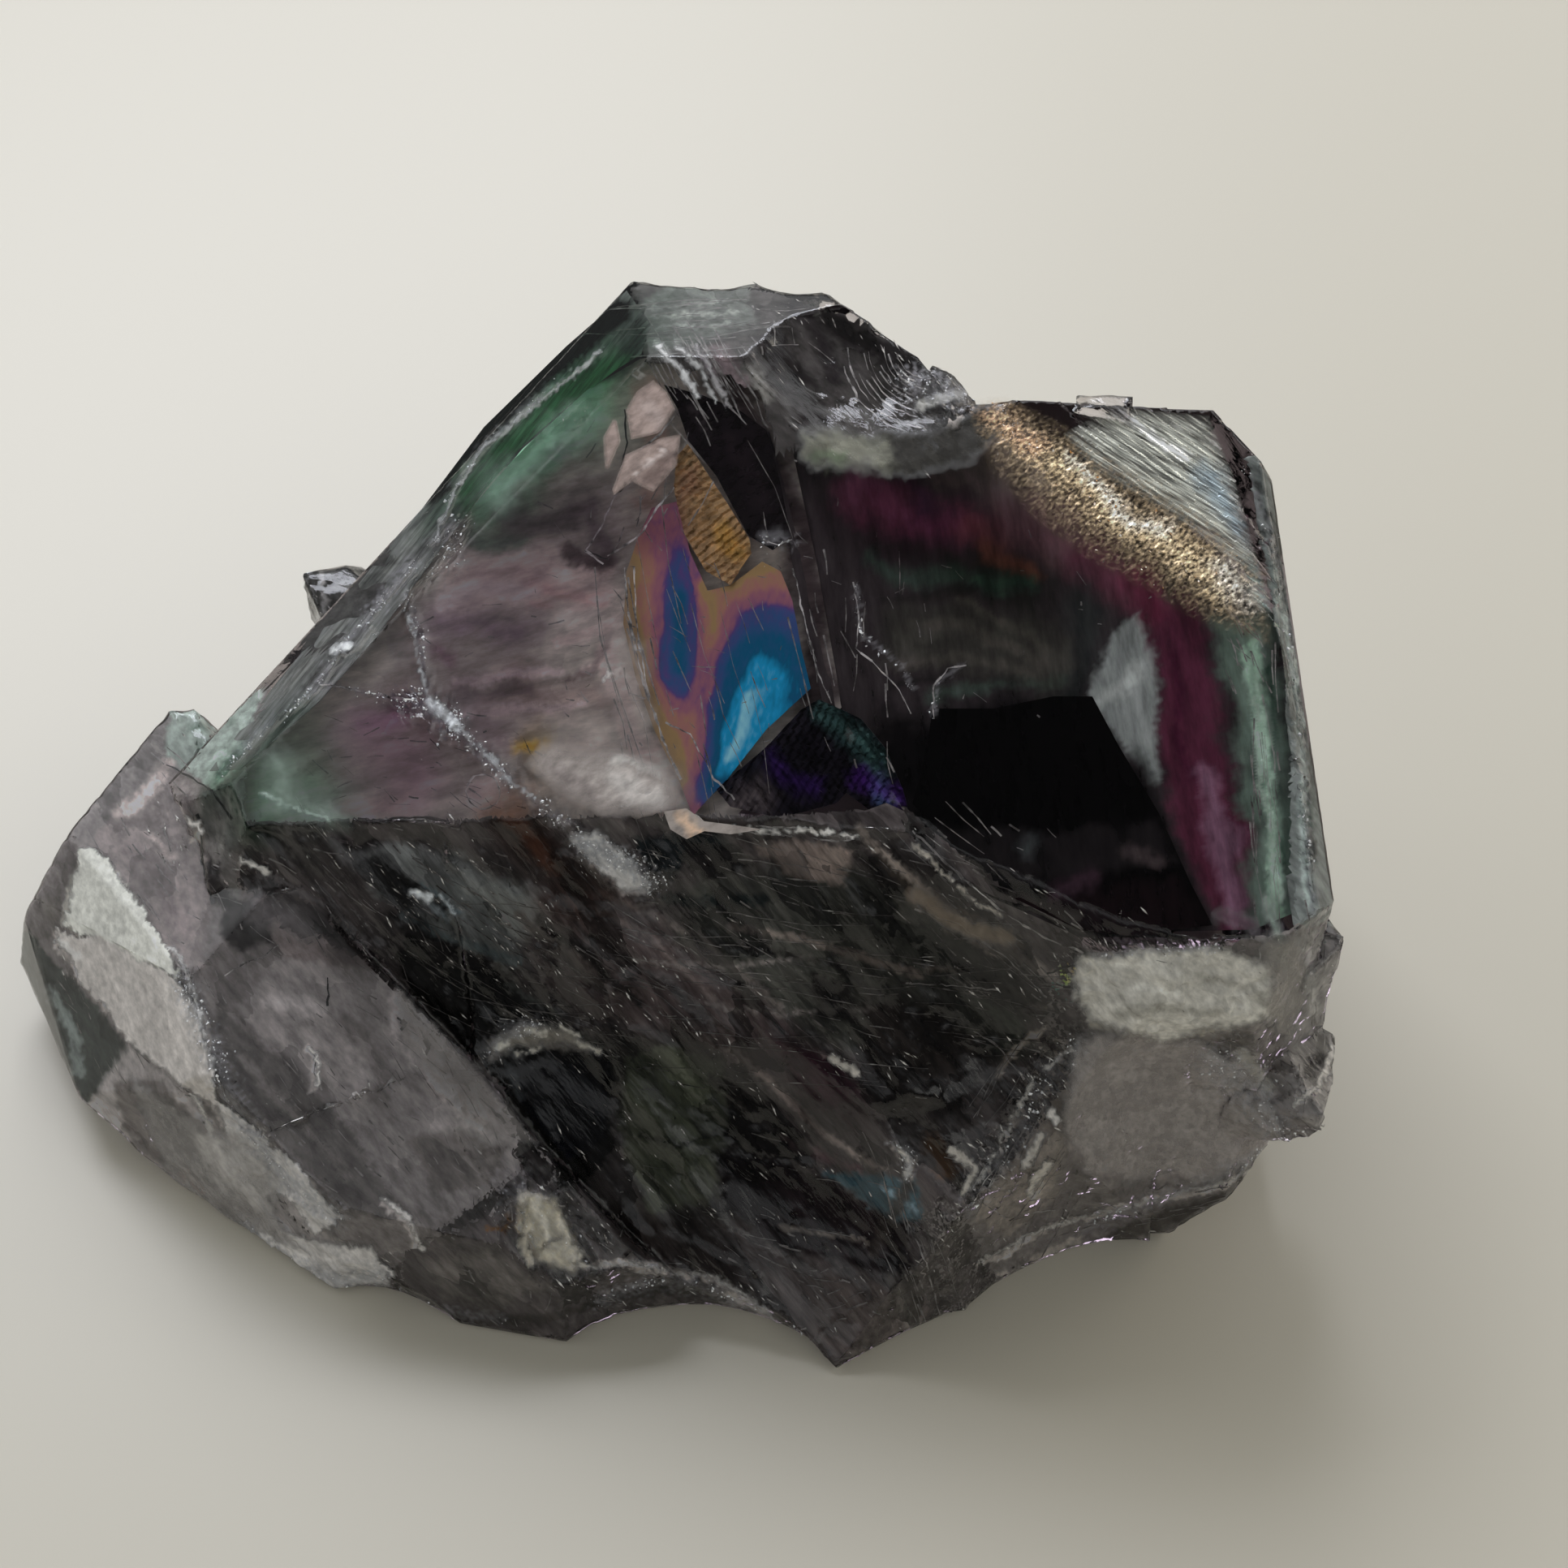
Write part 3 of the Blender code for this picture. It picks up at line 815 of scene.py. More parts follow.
def crushed_fluorite(name, light, dark):
    """Crushed chips of fluorite: white to grey, glassy, sparkling."""
    made, tree = blank(name)
    speck = add(tree, "ShaderNodeValToRGB", {"Fac": pattern(tree, (0.3, 0.3, 0.3), detail=1.0)},
                ((0.4, dark), (0.6, light)))
    shader = add(tree, "ShaderNodeBsdfPrincipled", {
        "Base Color": speck, "Roughness": 0.2, "IOR": IOR_FLUORITE})
    finish_material(tree, shader)
    return made


class FluoriteCrystalSettings(PropertyGroup):
    """Sizes and colours of the specimen that a user may change."""
    smoke_colour: FloatVectorProperty(
        name="Smoke colour", description="Colour left in light that crosses the crystal",
        subtype="COLOR", size=3, min=0.0, max=1.0, default=linear("a496a0")[:3])
    smoke_density: FloatProperty(
        name="Smoke density", description="How fast the crystal darkens light, per metre",
        default=62.0, min=0.0)
    broken_spacing: FloatProperty(
        name="Broken spacing", description="Longest mesh edge on broken surfaces, in millimetres",
        default=0.68, min=0.2)
    grown_spacing: FloatProperty(
        name="Grown spacing", description="Longest mesh edge on flat faces, in millimetres",
        default=1.8, min=0.3)
    grain_density: FloatProperty(
        name="Grain density", description="Crushed grains per square millimetre of bruised edge",
        default=30.0, min=0.0)
    fleck_density: FloatProperty(
        name="Fleck density", description="Bright flecks per square millimetre of broken surface",
        default=3.0, min=0.0)
    fleck_length: FloatProperty(
        name="Fleck length", description="Longest fleck, in millimetres", default=0.9, min=0.05)
    grain_size: FloatProperty(
        name="Grain size", description="Largest crushed grain, in millimetres",
        default=0.34, min=0.02)
    grain_seed: IntProperty(
        name="Grain seed", description="Seed of the scattered grains", default=7)


class FLUORITE_OT_crystal(Operator):
    """Make the crystal's fine surface over its solid"""
    bl_idname = "fluorite.crystal"
    bl_label = "Crystal"

    def execute(self, context):
        settings = context.scene.fluorite
        bm, fields, tint = refine_crystal(settings.broken_spacing, settings.grown_spacing)
        crystal = new_piece("crystal", bm, smoky_fluorite(settings), SHARP_ANGLE)
        set_values(crystal, fields, {"tint": tint})
        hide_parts(NODE)
        return {"FINISHED"}


# outlines and lines that an inner layer and the satin patches of painted light over it share
LOBE_TRIANGLE = ((98, 1046), (118, 1048), (173, 1118), (209, 1176), (224, 1206), (140, 1164), (78, 1139))
LOBE_PANEL = (
    (70, 1145), (131, 1158), (215, 1204), (248, 1249), (262, 1320), (266, 1366), (240, 1344), (200, 1316),
    (157, 1280), (100, 1206))
LOBE_PANEL_EDGE = ((209, 1168), (232, 1196), (240, 1230), (258, 1290), (262, 1340))
LOBE_LEDGE = ((262, 1352), (300, 1376), (366, 1440), (420, 1500), (390, 1520), (340, 1460), (290, 1410))
LOBE_FOOT = ((290, 1500), (360, 1520), (460, 1540), (480, 1580), (400, 1590), (320, 1550))
CRUSHED_BLOCK = ((700, 1028), (740, 1030), (786, 1070), (800, 1096), (770, 1100), (726, 1060))
CRESCENT = ((600, 1286), (640, 1262), (700, 1272), (740, 1296), (690, 1292), (640, 1284), (606, 1304))
YELLOW_PATCH = ((640, 1470), (690, 1484), (716, 1540), (704, 1566), (664, 1550), (640, 1510))
FOOT_RIM = ((700, 1560), (760, 1556), (830, 1566), (880, 1576), (940, 1612), (984, 1660))
LEDGE_LINE = ((1322, 1290), (1274, 1326), (1244, 1386), (1200, 1466))
LOWER_RIM = ((1206, 1556), (1300, 1506), (1424, 1478), (1500, 1456), (1574, 1434))

# painted layers: each stroke is (reach, edge, colour, strength, cover, pixels), with reach and
# edge in pixels, and a reach of zero fills its outline

LEFT_FACE = (
    (792, 446), (720, 478), (640, 548), (588, 610), (530, 690), (470, 760), (400, 845), (296, 945),
    (300, 1012), (420, 1024), (620, 1026), (830, 1026), (900, 1010), (1034, 872), (1004, 700), (974, 560),
    (948, 458), (860, 444))
LEFT_FACE_PAINT = (("726e68", 0.86), (
    (30, 60, "749880", 0.95, 0.9, ((600, 612), (645, 560), (715, 500))),
    (12, 30, "88b096", 0.8, 0.92, ((640, 580), (690, 540))),
    (18, 40, "26332c", 0.8, 0.9, ((735, 455), (770, 462))),
    (20, 50, "2e252b", 0.85, 0.9, ((640, 640), (700, 640), (735, 620), (735, 680))),
    (24, 60, "8c7c7a", 0.8, 0.86, ((560, 720), (640, 700), (720, 730))),
    (8, 16, "9c8280", 0.7, 0.8, ((656, 722), (739, 738))),
    (5, 12, "9c8280", 0.6, 0.8, ((660, 744), (725, 755))),
    (20, 50, "544850", 0.85, 0.88, ((540, 760), (600, 772), (650, 775))),
    (10, 24, "5a4450", 0.8, 0.88, ((530, 800), (545, 815))),
    (14, 28, "a09a94", 0.85, 0.9, ((705, 760), (740, 770))),
    (6, 14, "3c3634", 0.8, 0.9, ((750, 772), (735, 800), (722, 825))),
    (22, 60, "6a5c58", 0.7, 0.75, ((640, 850), (740, 860))),
    (8, 22, "3d3233", 0.8, 0.85, ((560, 850), (655, 850))),
    (7, 16, "96803c", 0.95, 0.95, ((632, 917), (672, 918))),
    (26, 60, "98aa9a", 0.95, 0.92, ((330, 940), (345, 985), (420, 1000))),
    (24, 60, "8a7c7e", 0.85, 0.9, ((440, 900), (500, 930), (520, 975))),
    (12, 34, "84687a", 0.8, 0.88, ((455, 885), (485, 880))),
    (3, 6, "a9bdb4", 0.9, 1.0, ((324, 977), (350, 990), (371, 999), (408, 1012))),
    (10, 20, "8c7c7a", 0.7, 0.88, ((430, 990), (500, 985))),
    (12, 40, "5c5a57", 0.8, 0.8, ((440, 800), (480, 770), (500, 800))),
    (26, 60, "625759", 0.8, 0.86, ((600, 900), (570, 870))),
    (26, 40, "9a8f88", 0.75, 0.9, ((700, 940), (790, 955), (820, 990))),
    (30, 50, "1c1517", 0.95, 0.97, ((905, 470), (950, 560), (980, 660), (1000, 760), (1016, 860))),
    (14, 24, "78665f", 0.85, 0.92, ((800, 480), (815, 560), (800, 620))),
    (6, 10, "a39590", 0.8, 0.9, ((640, 690), (700, 704), (750, 700))),
    (5, 9, "978a86", 0.8, 0.9, ((690, 790), (740, 776), (764, 760))),
    (4, 8, "b9b0a8", 0.85, 0.95, ((700, 775), (736, 764), (766, 742))),
    (5, 9, "a79e98", 0.8, 0.92, ((720, 820), (752, 800), (764, 770))),
    (18, 26, "9d8f8b", 0.85, 0.92, ((752, 800), (768, 860), (790, 930))),
    (3, 8, "c3bab2", 0.8, 0.95, ((762, 760), (776, 840), (800, 920))),
    (5, 10, "3b3031", 0.8, 0.92, ((700, 835), (736, 812), (750, 790))),
    (4, 8, "8d8282", 0.8, 0.9, ((560, 840), (620, 834), (690, 826))),
    (4, 8, "877c7c", 0.8, 0.9, ((570, 880), (640, 872), (720, 870))),
    (10, 12, "2c2225", 0.85, 0.95, ((700, 680), (730, 692), (748, 690))),
    (16, 20, "9c8f8c", 0.85, 0.92, ((600, 975), (597, 978))),
    (14, 26, "6c5646", 0.8, 0.9, ((604, 1000), (640, 1020))),
    (8, 14, "8f8685", 0.8, 0.9, ((540, 740), (600, 720), (660, 728))),
    (10, 20, "3c4a42", 0.8, 0.92, ((590, 660), (640, 668))),
))

RIGHT_FACE = (
    (1000, 545), (1120, 545), (1190, 528), (1240, 505), (1330, 560), (1450, 640), (1520, 700),
    (1572, 760), (1590, 830), (1600, 960), (1606, 1120), (1545, 1145), (1440, 1148), (1330, 1150),
    (1220, 1100), (1140, 1030), (1100, 985), (1018, 872), (992, 760), (955, 560), (944, 530))
# the right face's near-black ground is the smoke of the stone with painted shade over it
RIGHT_FACE_PAINT = (("2c2829", 0.95), (
    (14, 30, "8a877c", 0.85, 0.96, ((1000, 556), (1060, 560), (1085, 562))),
    (8, 22, "84927a", 0.85, 0.96, ((1016, 574), (1040, 576))),
    (16, 30, "827b73", 0.85, 0.96, ((1200, 530), (1250, 550), (1290, 590))),
    (26, 50, "7a4a60", 0.85, 0.95, ((1070, 606), (1105, 625))),
    (20, 46, "6a3d54", 0.85, 0.95, ((1140, 640), (1190, 655))),
    (12, 34, "2a2130", 0.8, 0.95, ((1130, 612), (1140, 625))),
    (16, 34, "6b4144", 0.8, 0.95, ((1200, 655), (1235, 665))),
    (12, 24, "6c4438", 0.85, 0.95, ((1222, 680), (1244, 694), (1262, 706))),
    (10, 20, "35493f", 0.85, 0.95, ((1205, 716), (1240, 722), (1264, 724))),
    (9, 24, "34453c", 0.8, 0.95, ((1085, 690), (1110, 705), (1180, 715))),
    (16, 30, "474440", 0.8, 0.95, ((1110, 800), (1176, 776), (1240, 786), (1300, 816))),
    (6, 12, "57524c", 0.7, 0.96, ((1110, 820), (1180, 808), (1270, 830))),
    (6, 14, "59534d", 0.7, 0.96, ((1130, 770), (1190, 776), (1280, 816))),
    (5, 12, "544f49", 0.7, 0.96, ((1180, 740), (1216, 756), (1290, 800))),
    (4, 10, "201e1e", 0.8, 0.97, ((1130, 796), (1186, 793), (1262, 816))),
    (4, 12, "1c1a1a", 0.8, 0.97, ((1170, 756), (1210, 768), (1274, 800))),
    (6, 14, "3c4a42", 0.75, 0.96, ((1150, 856), (1230, 846), (1310, 838))),
    (5, 12, "1a1818", 0.8, 0.97, ((1100, 846), (1170, 832), (1260, 842))),
    (8, 18, "544a4c", 0.75, 0.95, ((1200, 600), (1260, 604), (1330, 640))),
    (5, 12, "3a3233", 0.75, 0.95, ((1150, 590), (1200, 606), (1270, 630))),
    (5, 10, "67464f", 0.8, 0.95, ((1290, 660), (1340, 672), (1400, 700))),
    (6, 12, "1c1a1a", 0.8, 0.96, ((1090, 740), (1140, 730), (1200, 728))),
    (44, 40, "33342e", 0.62, 0.95, ((1130, 780), (1290, 806))),
    (34, 60, "57504b", 0.8, 0.92, ((1180, 560), (1240, 580))),
    (34, 60, "5d474a", 0.85, 0.92, ((1260, 640), (1330, 660))),
    (24, 50, "5b3340", 0.85, 0.94, ((1340, 690), (1400, 730))),
    (18, 34, "222625", 0.85, 0.95, ((1330, 745), (1345, 800), (1320, 860))),
    (18, 40, "5d2438", 0.85, 0.95, ((1400, 700), (1430, 770))),
    (0, 14, "7b827e", 0.9, 0.96, ((1344, 866), (1352, 830), (1376, 784), (1404, 760), (1424, 800),
        (1424, 960))),
    (8, 16, "9aa29c", 0.8, 0.96, ((1366, 862), (1384, 850), (1400, 820))),
    (8, 16, "5c625f", 0.7, 0.95, ((1404, 930), (1416, 960))),
    (0, 24, "46202f", 0.95, 0.97, ((1468, 720), (1425, 790), (1424, 900), (1440, 1000), (1482, 1095),
        (1520, 1168), (1550, 1156), (1535, 1007), (1500, 908), (1488, 783))),
    (7, 22, "341022", 0.8, 0.97, ((1450, 810), (1455, 900), (1465, 960))),
    (14, 24, "6c5060", 0.85, 0.97, ((1486, 960), (1515, 1060), (1532, 1130))),
    (0, 30, "58695e", 0.9, 0.95, ((1500, 752), (1572, 762), (1588, 908), (1600, 1057), (1600, 1190),
        (1562, 1190), (1548, 1082), (1533, 982), (1512, 858))),
    (5, 12, "93b79c", 0.85, 0.97, ((1548, 790), (1556, 900), (1562, 1000), (1574, 1110), (1582, 1180))),
    (4, 10, "a2c4ac", 0.7, 0.97, ((1535, 800), (1545, 880), (1566, 960), (1578, 1080))),
    (3, 8, "2c4437", 0.8, 0.97, ((1566, 820), (1572, 900), (1560, 980), (1584, 1060))),
    (2, 5, "c8dccc", 0.8, 0.97, ((1546, 860), (1552, 940), (1566, 1040), (1574, 1140))),
    # painted shade: the black zone, where the right crystal shows only darkness through its top face
    (0, 60, "060506", 1.0, 1.0, ((1100, 880), (1230, 862), (1330, 850), (1380, 930), (1430, 1010),
        (1470, 1100), (1490, 1150), (1330, 1160), (1180, 1080), (1060, 960))),
))

# painted shade: a dark plane with crisp edges inside the right crystal, where it shows only darkness, with
# faint lighter streaks
SHADE_PLANE = (
    (1149, 873), (1224, 873), (1298, 858), (1346, 858), (1378, 918), (1428, 1002), (1468, 1090),
    (1494, 1140), (1400, 1150), (1330, 1143), (1230, 1094), (1160, 1030), (1124, 990), (1134, 957),
    (1144, 908))
SHADE_PLANE_PAINT = (("020102", 1.0), (
    (0, 18, "232021", 0.85, 1.0, ((1130, 1012), (1200, 1022), (1330, 1018), (1432, 1010), (1452, 1052),
        (1380, 1075), (1280, 1080), (1190, 1072))),
    (6, 18, "4c5252", 0.8, 1.0, ((1278, 1030), (1268, 1050))),
    (7, 16, "5a5050", 0.7, 1.0, ((1395, 1048), (1430, 1058))),
    (8, 22, "46343e", 0.75, 1.0, ((1305, 1092), (1345, 1085))),
    (0, 26, "1a1013", 0.8, 1.0, ((1220, 1090), (1340, 1100), (1460, 1080), (1500, 1160), (1300, 1160))),
))

BEVEL = (
    (772, 358), (696, 424), (594, 524), (512, 632), (430, 734), (340, 842), (258, 950), (296, 948),
    (392, 862), (470, 776), (540, 680), (600, 600), (640, 553), (700, 500), (760, 455), (790, 436),
    (800, 400))
BEVEL_PAINT = (("767a76", 0.9), (
    (0, 26, "55805f", 0.95, 0.9, ((745, 425), (640, 520), (560, 600), (560, 660), (600, 640), (690, 560),
        (800, 455))),
    (10, 26, "6c9a78", 0.7, 0.9, ((690, 500), (640, 550))),
    (15, 8, "0c0e0d", 1.0, 1.0, ((764, 384), (752, 392), (672, 458), (608, 518), (560, 566), (530, 606))),
    (3, 5, "b2b2aa", 0.9, 1.0, ((742, 432), (680, 480), (636, 518), (592, 560), (562, 600), (548, 640))),
    (4, 8, "8f928c", 0.8, 1.0, ((520, 650), (440, 750), (350, 850))),
    (3, 5, "3a3d3a", 0.8, 1.0, ((530, 660), (450, 760), (360, 862))),
    (6, 8, "343733", 0.7, 1.0, ((480, 690), (430, 744))),
    (4, 6, "c9cac8", 0.8, 1.0, ((556, 650), (550, 690), (530, 702))),
    (4, 6, "bfc1bd", 0.8, 1.0, ((414, 800), (436, 790))),
    (12, 22, "2b3a33", 0.9, 1.0, ((770, 430), (790, 400))),
))

TOP_BACK = (
    (775, 352), (830, 336), (960, 360), (1095, 408), (1210, 480), (1200, 500), (1120, 545), (1000, 545),
    (960, 560), (935, 480), (860, 455), (795, 445), (780, 400))
TOP_BACK_PAINT = (("4c4a48", 0.94), (
    (0, 14, "6a706a", 0.9, 0.96, ((786, 380), (830, 346), (925, 356), (940, 400), (850, 430),
        (800, 430))),
    (2, 4, "a9afa8", 0.7, 0.96, ((800, 380), (905, 374))),
    (2, 4, "a2a8a0", 0.7, 0.96, ((806, 392), (915, 388))),
    (2, 4, "a9afa8", 0.6, 0.96, ((810, 404), (900, 402))),
    (4, 6, "c8c8c6", 0.9, 1.0, ((812, 424), (836, 452), (860, 490))),
    (3, 5, "b0aeae", 0.9, 1.0, ((836, 425), (862, 458), (884, 496))),
    (3, 5, "a4a0a2", 0.8, 1.0, ((858, 430), (884, 470), (900, 500))),
    (14, 22, "8a7d7e", 0.85, 0.96, ((884, 440), (906, 476))),
    (20, 26, "1c1819", 0.9, 0.98, ((950, 424), (975, 470), (1000, 520))),
    (10, 14, "7c7c76", 0.8, 0.96, ((925, 455), (940, 485))),
    (14, 14, "161515", 0.9, 0.98, ((1122, 446), (1150, 470), (1180, 492))),
    (18, 22, "1d1b1b", 0.9, 0.98, ((1030, 392), (1070, 420), (1100, 440))),
    (8, 10, "5c5a56", 0.8, 0.96, ((1140, 492), (1180, 484))),
    (14, 22, "2a2728", 0.85, 0.97, ((985, 380), (1010, 420), (1030, 470))),
    (10, 16, "44423f", 0.8, 0.96, ((1060, 520), (1130, 522))),
))

FRONT = (
    (300, 1010), (430, 1012), (640, 1008), (835, 1008), (1000, 1002), (1115, 992), (1175, 1050),
    (1240, 1098), (1330, 1145), (1340, 1300), (1270, 1400), (1190, 1500), (1260, 1640), (1120, 1730),
    (940, 1730), (830, 1650), (700, 1680), (500, 1680), (480, 1560), (520, 1530), (640, 1440),
    (620, 1340), (520, 1250), (440, 1180), (350, 1140), (290, 1090))
FRONT_PAINT = (("454140", 0.95), (
    (0, 30, "393b36", 0.9, 0.96, ((850, 1090), (960, 1060), (1100, 1080), (1240, 1180), (1280, 1300),
        (1120, 1330), (960, 1260), (840, 1170))),
    (0, 26, "868c8a", 0.9, 0.95, ((420, 1040), (560, 1050), (690, 1120), (760, 1200), (640, 1190),
        (500, 1120))),
    (0, 30, "554c4b", 0.9, 0.95, ((660, 1090), (780, 1110), (900, 1200), (1000, 1290), (900, 1310),
        (760, 1260), (640, 1180))),
    (12, 16, "5a4438", 0.9, 0.95, ((614, 1000), (640, 1016), (664, 1040), (680, 1062))),
    (0, 8, "c8c6c4", 0.9, 1.0, CRUSHED_BLOCK),
    (0, 8, "10171a", 0.95, 0.98, ((780, 1030), (880, 1024), (906, 1044), (850, 1060), (830, 1086),
        (800, 1070))),
    (7, 8, "141d1e", 0.9, 0.98, ((826, 1104), (870, 1112), (940, 1108))),
    # painted glints: bluish-white streaks
    (3, 5, "a8bcc4", 0.9, 1.0, ((502, 1096), (528, 1110), (556, 1128))),
    (3, 5, "8ea2aa", 0.9, 1.0, ((520, 1088), (552, 1104), (566, 1124))),
    (6, 8, "6b7a7c", 0.85, 0.97, ((500, 1130), (570, 1160), (640, 1186))),
    (5, 8, "565b57", 0.85, 0.97, ((540, 1190), (620, 1210), (690, 1250))),
    (3, 8, "7d7470", 0.8, 0.97, ((700, 1110), (800, 1150), (880, 1230))),
    (3, 8, "716a66", 0.8, 0.97, ((740, 1100), (860, 1150), (960, 1240))),
    (2, 5, "8c8783", 0.8, 0.97, ((760, 1180), (880, 1190), (1000, 1180))),
    (2, 5, "85807c", 0.8, 0.97, ((840, 1230), (960, 1250), (1080, 1240))),
    (3, 7, "26221f", 0.8, 0.97, ((720, 1150), (820, 1210), (920, 1290))),
    (0, 12, "696c60", 0.95, 0.96, ((772, 1300), (830, 1286), (890, 1310), (900, 1400), (880, 1480),
        (800, 1490), (768, 1420))),
    (10, 10, "74766a", 0.8, 0.96, ((800, 1330), (826, 1310), (850, 1330))),
    (8, 10, "6c6e62", 0.8, 0.96, ((860, 1440), (820, 1462))),
    (4, 6, "282a26", 0.8, 0.96, ((790, 1400), (840, 1410), (880, 1400))),
    (0, 14, "3c2530", 0.92, 0.96, ((964, 1284), (1010, 1292), (1066, 1350), (1020, 1362), (970, 1330))),
    (0, 12, "120a0d", 0.96, 0.99, ((880, 1420), (960, 1424), (1012, 1444), (1060, 1476), (1120, 1508),
        (1130, 1560), (1050, 1560), (960, 1540), (890, 1490))),
    (5, 8, "5a4a4c", 0.85, 0.97, ((960, 1400), (1020, 1424), (1060, 1440))),
    (0, 9, "344c54", 0.95, 0.98, ((1014, 1441), (1129, 1452), (1141, 1500), (1108, 1505), (1046, 1466))),
    (3, 6, "7e96a0", 0.8, 1.0, ((1090, 1462), (1130, 1490))),
    (12, 16, "5c4632", 0.9, 0.95, ((1146, 1412), (1166, 1440))),
    (5, 8, "b9b2a8", 0.9, 1.0, ((1176, 1420), (1200, 1440), (1190, 1470))),
    (0, 30, "1e1918", 0.9, 0.97, ((1060, 1220), (1170, 1240), (1230, 1300), (1180, 1380), (1100, 1380),
        (1060, 1300))),
    (3, 6, "aaa49c", 0.9, 1.0, ((1018, 1302), (1040, 1312), (1062, 1326))),
    (3, 6, "aaa49c", 0.9, 1.0, ((1108, 1412), (1126, 1430), (1120, 1450))),
    (12, 14, "968878", 0.85, 0.95, ((1130, 1104), (1180, 1136), (1240, 1160))),
    (6, 10, "8c8274", 0.85, 0.95, ((1090, 1060), (1124, 1090))),
    (8, 12, "30362e", 0.85, 0.95, ((1210, 1230), (1270, 1280))),
    (4, 8, "7c766e", 0.8, 0.97, ((1140, 1190), (1210, 1200), (1290, 1240))),
    # painted shade: a clear window in the front that shows only darkness, darkest in its inner patch
    (0, 5, "141413", 0.97, 0.99, ((484, 1176), (508, 1222), (556, 1276), (600, 1320), (640, 1375),
        (672, 1420), (690, 1462), (722, 1460), (756, 1412), (757, 1337), (742, 1281), (695, 1256),
        (664, 1240), (608, 1199), (562, 1174), (501, 1150))),
    (0, 8, "0d0f15", 0.9, 0.99, ((620, 1320), (690, 1300), (750, 1310), (750, 1400), (700, 1430),
        (650, 1370))),
    (0, 7, "a8a49c", 0.9, 1.0, CRESCENT),
    (5, 6, "1a1a1a", 0.9, 1.0, ((620, 1280), (650, 1276))),
    (4, 8, "5a6062", 0.8, 0.98, ((625, 1315), (640, 1350))),
    (0, 9, "dcd2b8", 0.95, 0.98, YELLOW_PATCH),
    (6, 8, "fff6e0", 0.85, 1.0, ((650, 1482), (672, 1498), (684, 1530))),
    (3, 4, "5a3c14", 0.95, 1.0, ((602, 1514), (626, 1512), (628, 1498))),
    (0, 16, "35322f", 0.88, 0.96, ((530, 1470), (600, 1440), (640, 1470), (600, 1500), (560, 1530),
        (520, 1510))),
    (0, 20, "56534f", 0.88, 0.95, ((520, 1560), (600, 1530), (680, 1580), (620, 1610), (540, 1600))),
    (4, 5, "c4bfb8", 0.9, 1.0, FOOT_RIM),
    (6, 8, "2a2725", 0.9, 0.98, ((500, 1600), (560, 1622), (660, 1626), (760, 1596), (850, 1584))),
    (0, 16, "4d4744", 0.88, 0.95, ((1000, 1580), (1100, 1570), (1160, 1630), (1060, 1670), (1000, 1650))),
    (2, 5, "7a746c", 0.8, 1.0, ((960, 1510), (1020, 1518), (1070, 1530))),
    (8, 12, "7a7670", 0.8, 0.95, ((1100, 1570), (1130, 1640))),
    (0, 20, "241e1d", 0.88, 0.97, ((740, 1490), (860, 1500), (940, 1560), (900, 1580), (760, 1550))),
    (0, 8, "1c1a1a", 0.9, 0.98, ((436, 1060), (470, 1050), (500, 1080), (560, 1110), (540, 1130),
        (480, 1110))),
    (0, 8, "191717", 0.9, 0.98, ((470, 1120), (540, 1150), (640, 1200), (620, 1215), (530, 1180))),
    # painted glint: a bluish-white streak
    (3, 4, "c4d4da", 0.9, 1.0, ((516, 1100), (534, 1112), (548, 1122))),
    (0, 6, "0f0d0e", 0.9, 0.98, ((840, 1036), (910, 1040), (930, 1066), (870, 1086), (846, 1062))),
    (0, 8, "8b8078", 0.85, 0.96, ((930, 1040), (990, 1036), (1050, 1046), (1040, 1090), (980, 1084))),
    (0, 8, "191615", 0.85, 0.97, ((1050, 1050), (1100, 1046), (1130, 1084), (1100, 1110))),
    (4, 6, "a39a90", 0.85, 0.97, ((1056, 1020), (1100, 1060), (1150, 1104))),
    (0, 8, "171414", 0.9, 0.98, ((1000, 1200), (1050, 1210), (1060, 1260), (1010, 1256))),
    (4, 6, "7d756e", 0.85, 0.97, ((900, 1140), (960, 1150), (1060, 1176), (1130, 1200))),
    (4, 6, "1d1a19", 0.85, 0.97, ((890, 1160), (960, 1172), (1050, 1196))),
    (5, 6, "6f6863", 0.85, 0.97, ((640, 1130), (700, 1172), (760, 1226))),
    (5, 6, "1b1918", 0.85, 0.97, ((664, 1130), (720, 1172), (790, 1236))),
    (4, 6, "847c76", 0.85, 0.97, ((900, 1290), (950, 1330), (1010, 1392), (1090, 1440))),
    (6, 8, "15100f", 0.9, 0.98, ((880, 1330), (940, 1366), (1000, 1420))),
    (0, 8, "100c0c", 0.92, 0.98, ((900, 1350), (950, 1390), (1000, 1430), (940, 1420), (890, 1400))),
    (6, 8, "9c968e", 0.85, 0.97, ((1190, 1150), (1250, 1176), (1300, 1200))),
    (0, 6, "141211", 0.9, 0.98, ((1180, 1180), (1250, 1200), (1290, 1236), (1230, 1240), (1180, 1210))),
    (3, 4, "b8b0a4", 0.9, 1.0, ((1230, 1330), (1250, 1290), (1290, 1262))),
    (8, 10, "2c2724", 0.88, 0.97, ((1080, 1540), (1100, 1500), (1120, 1460))),
))

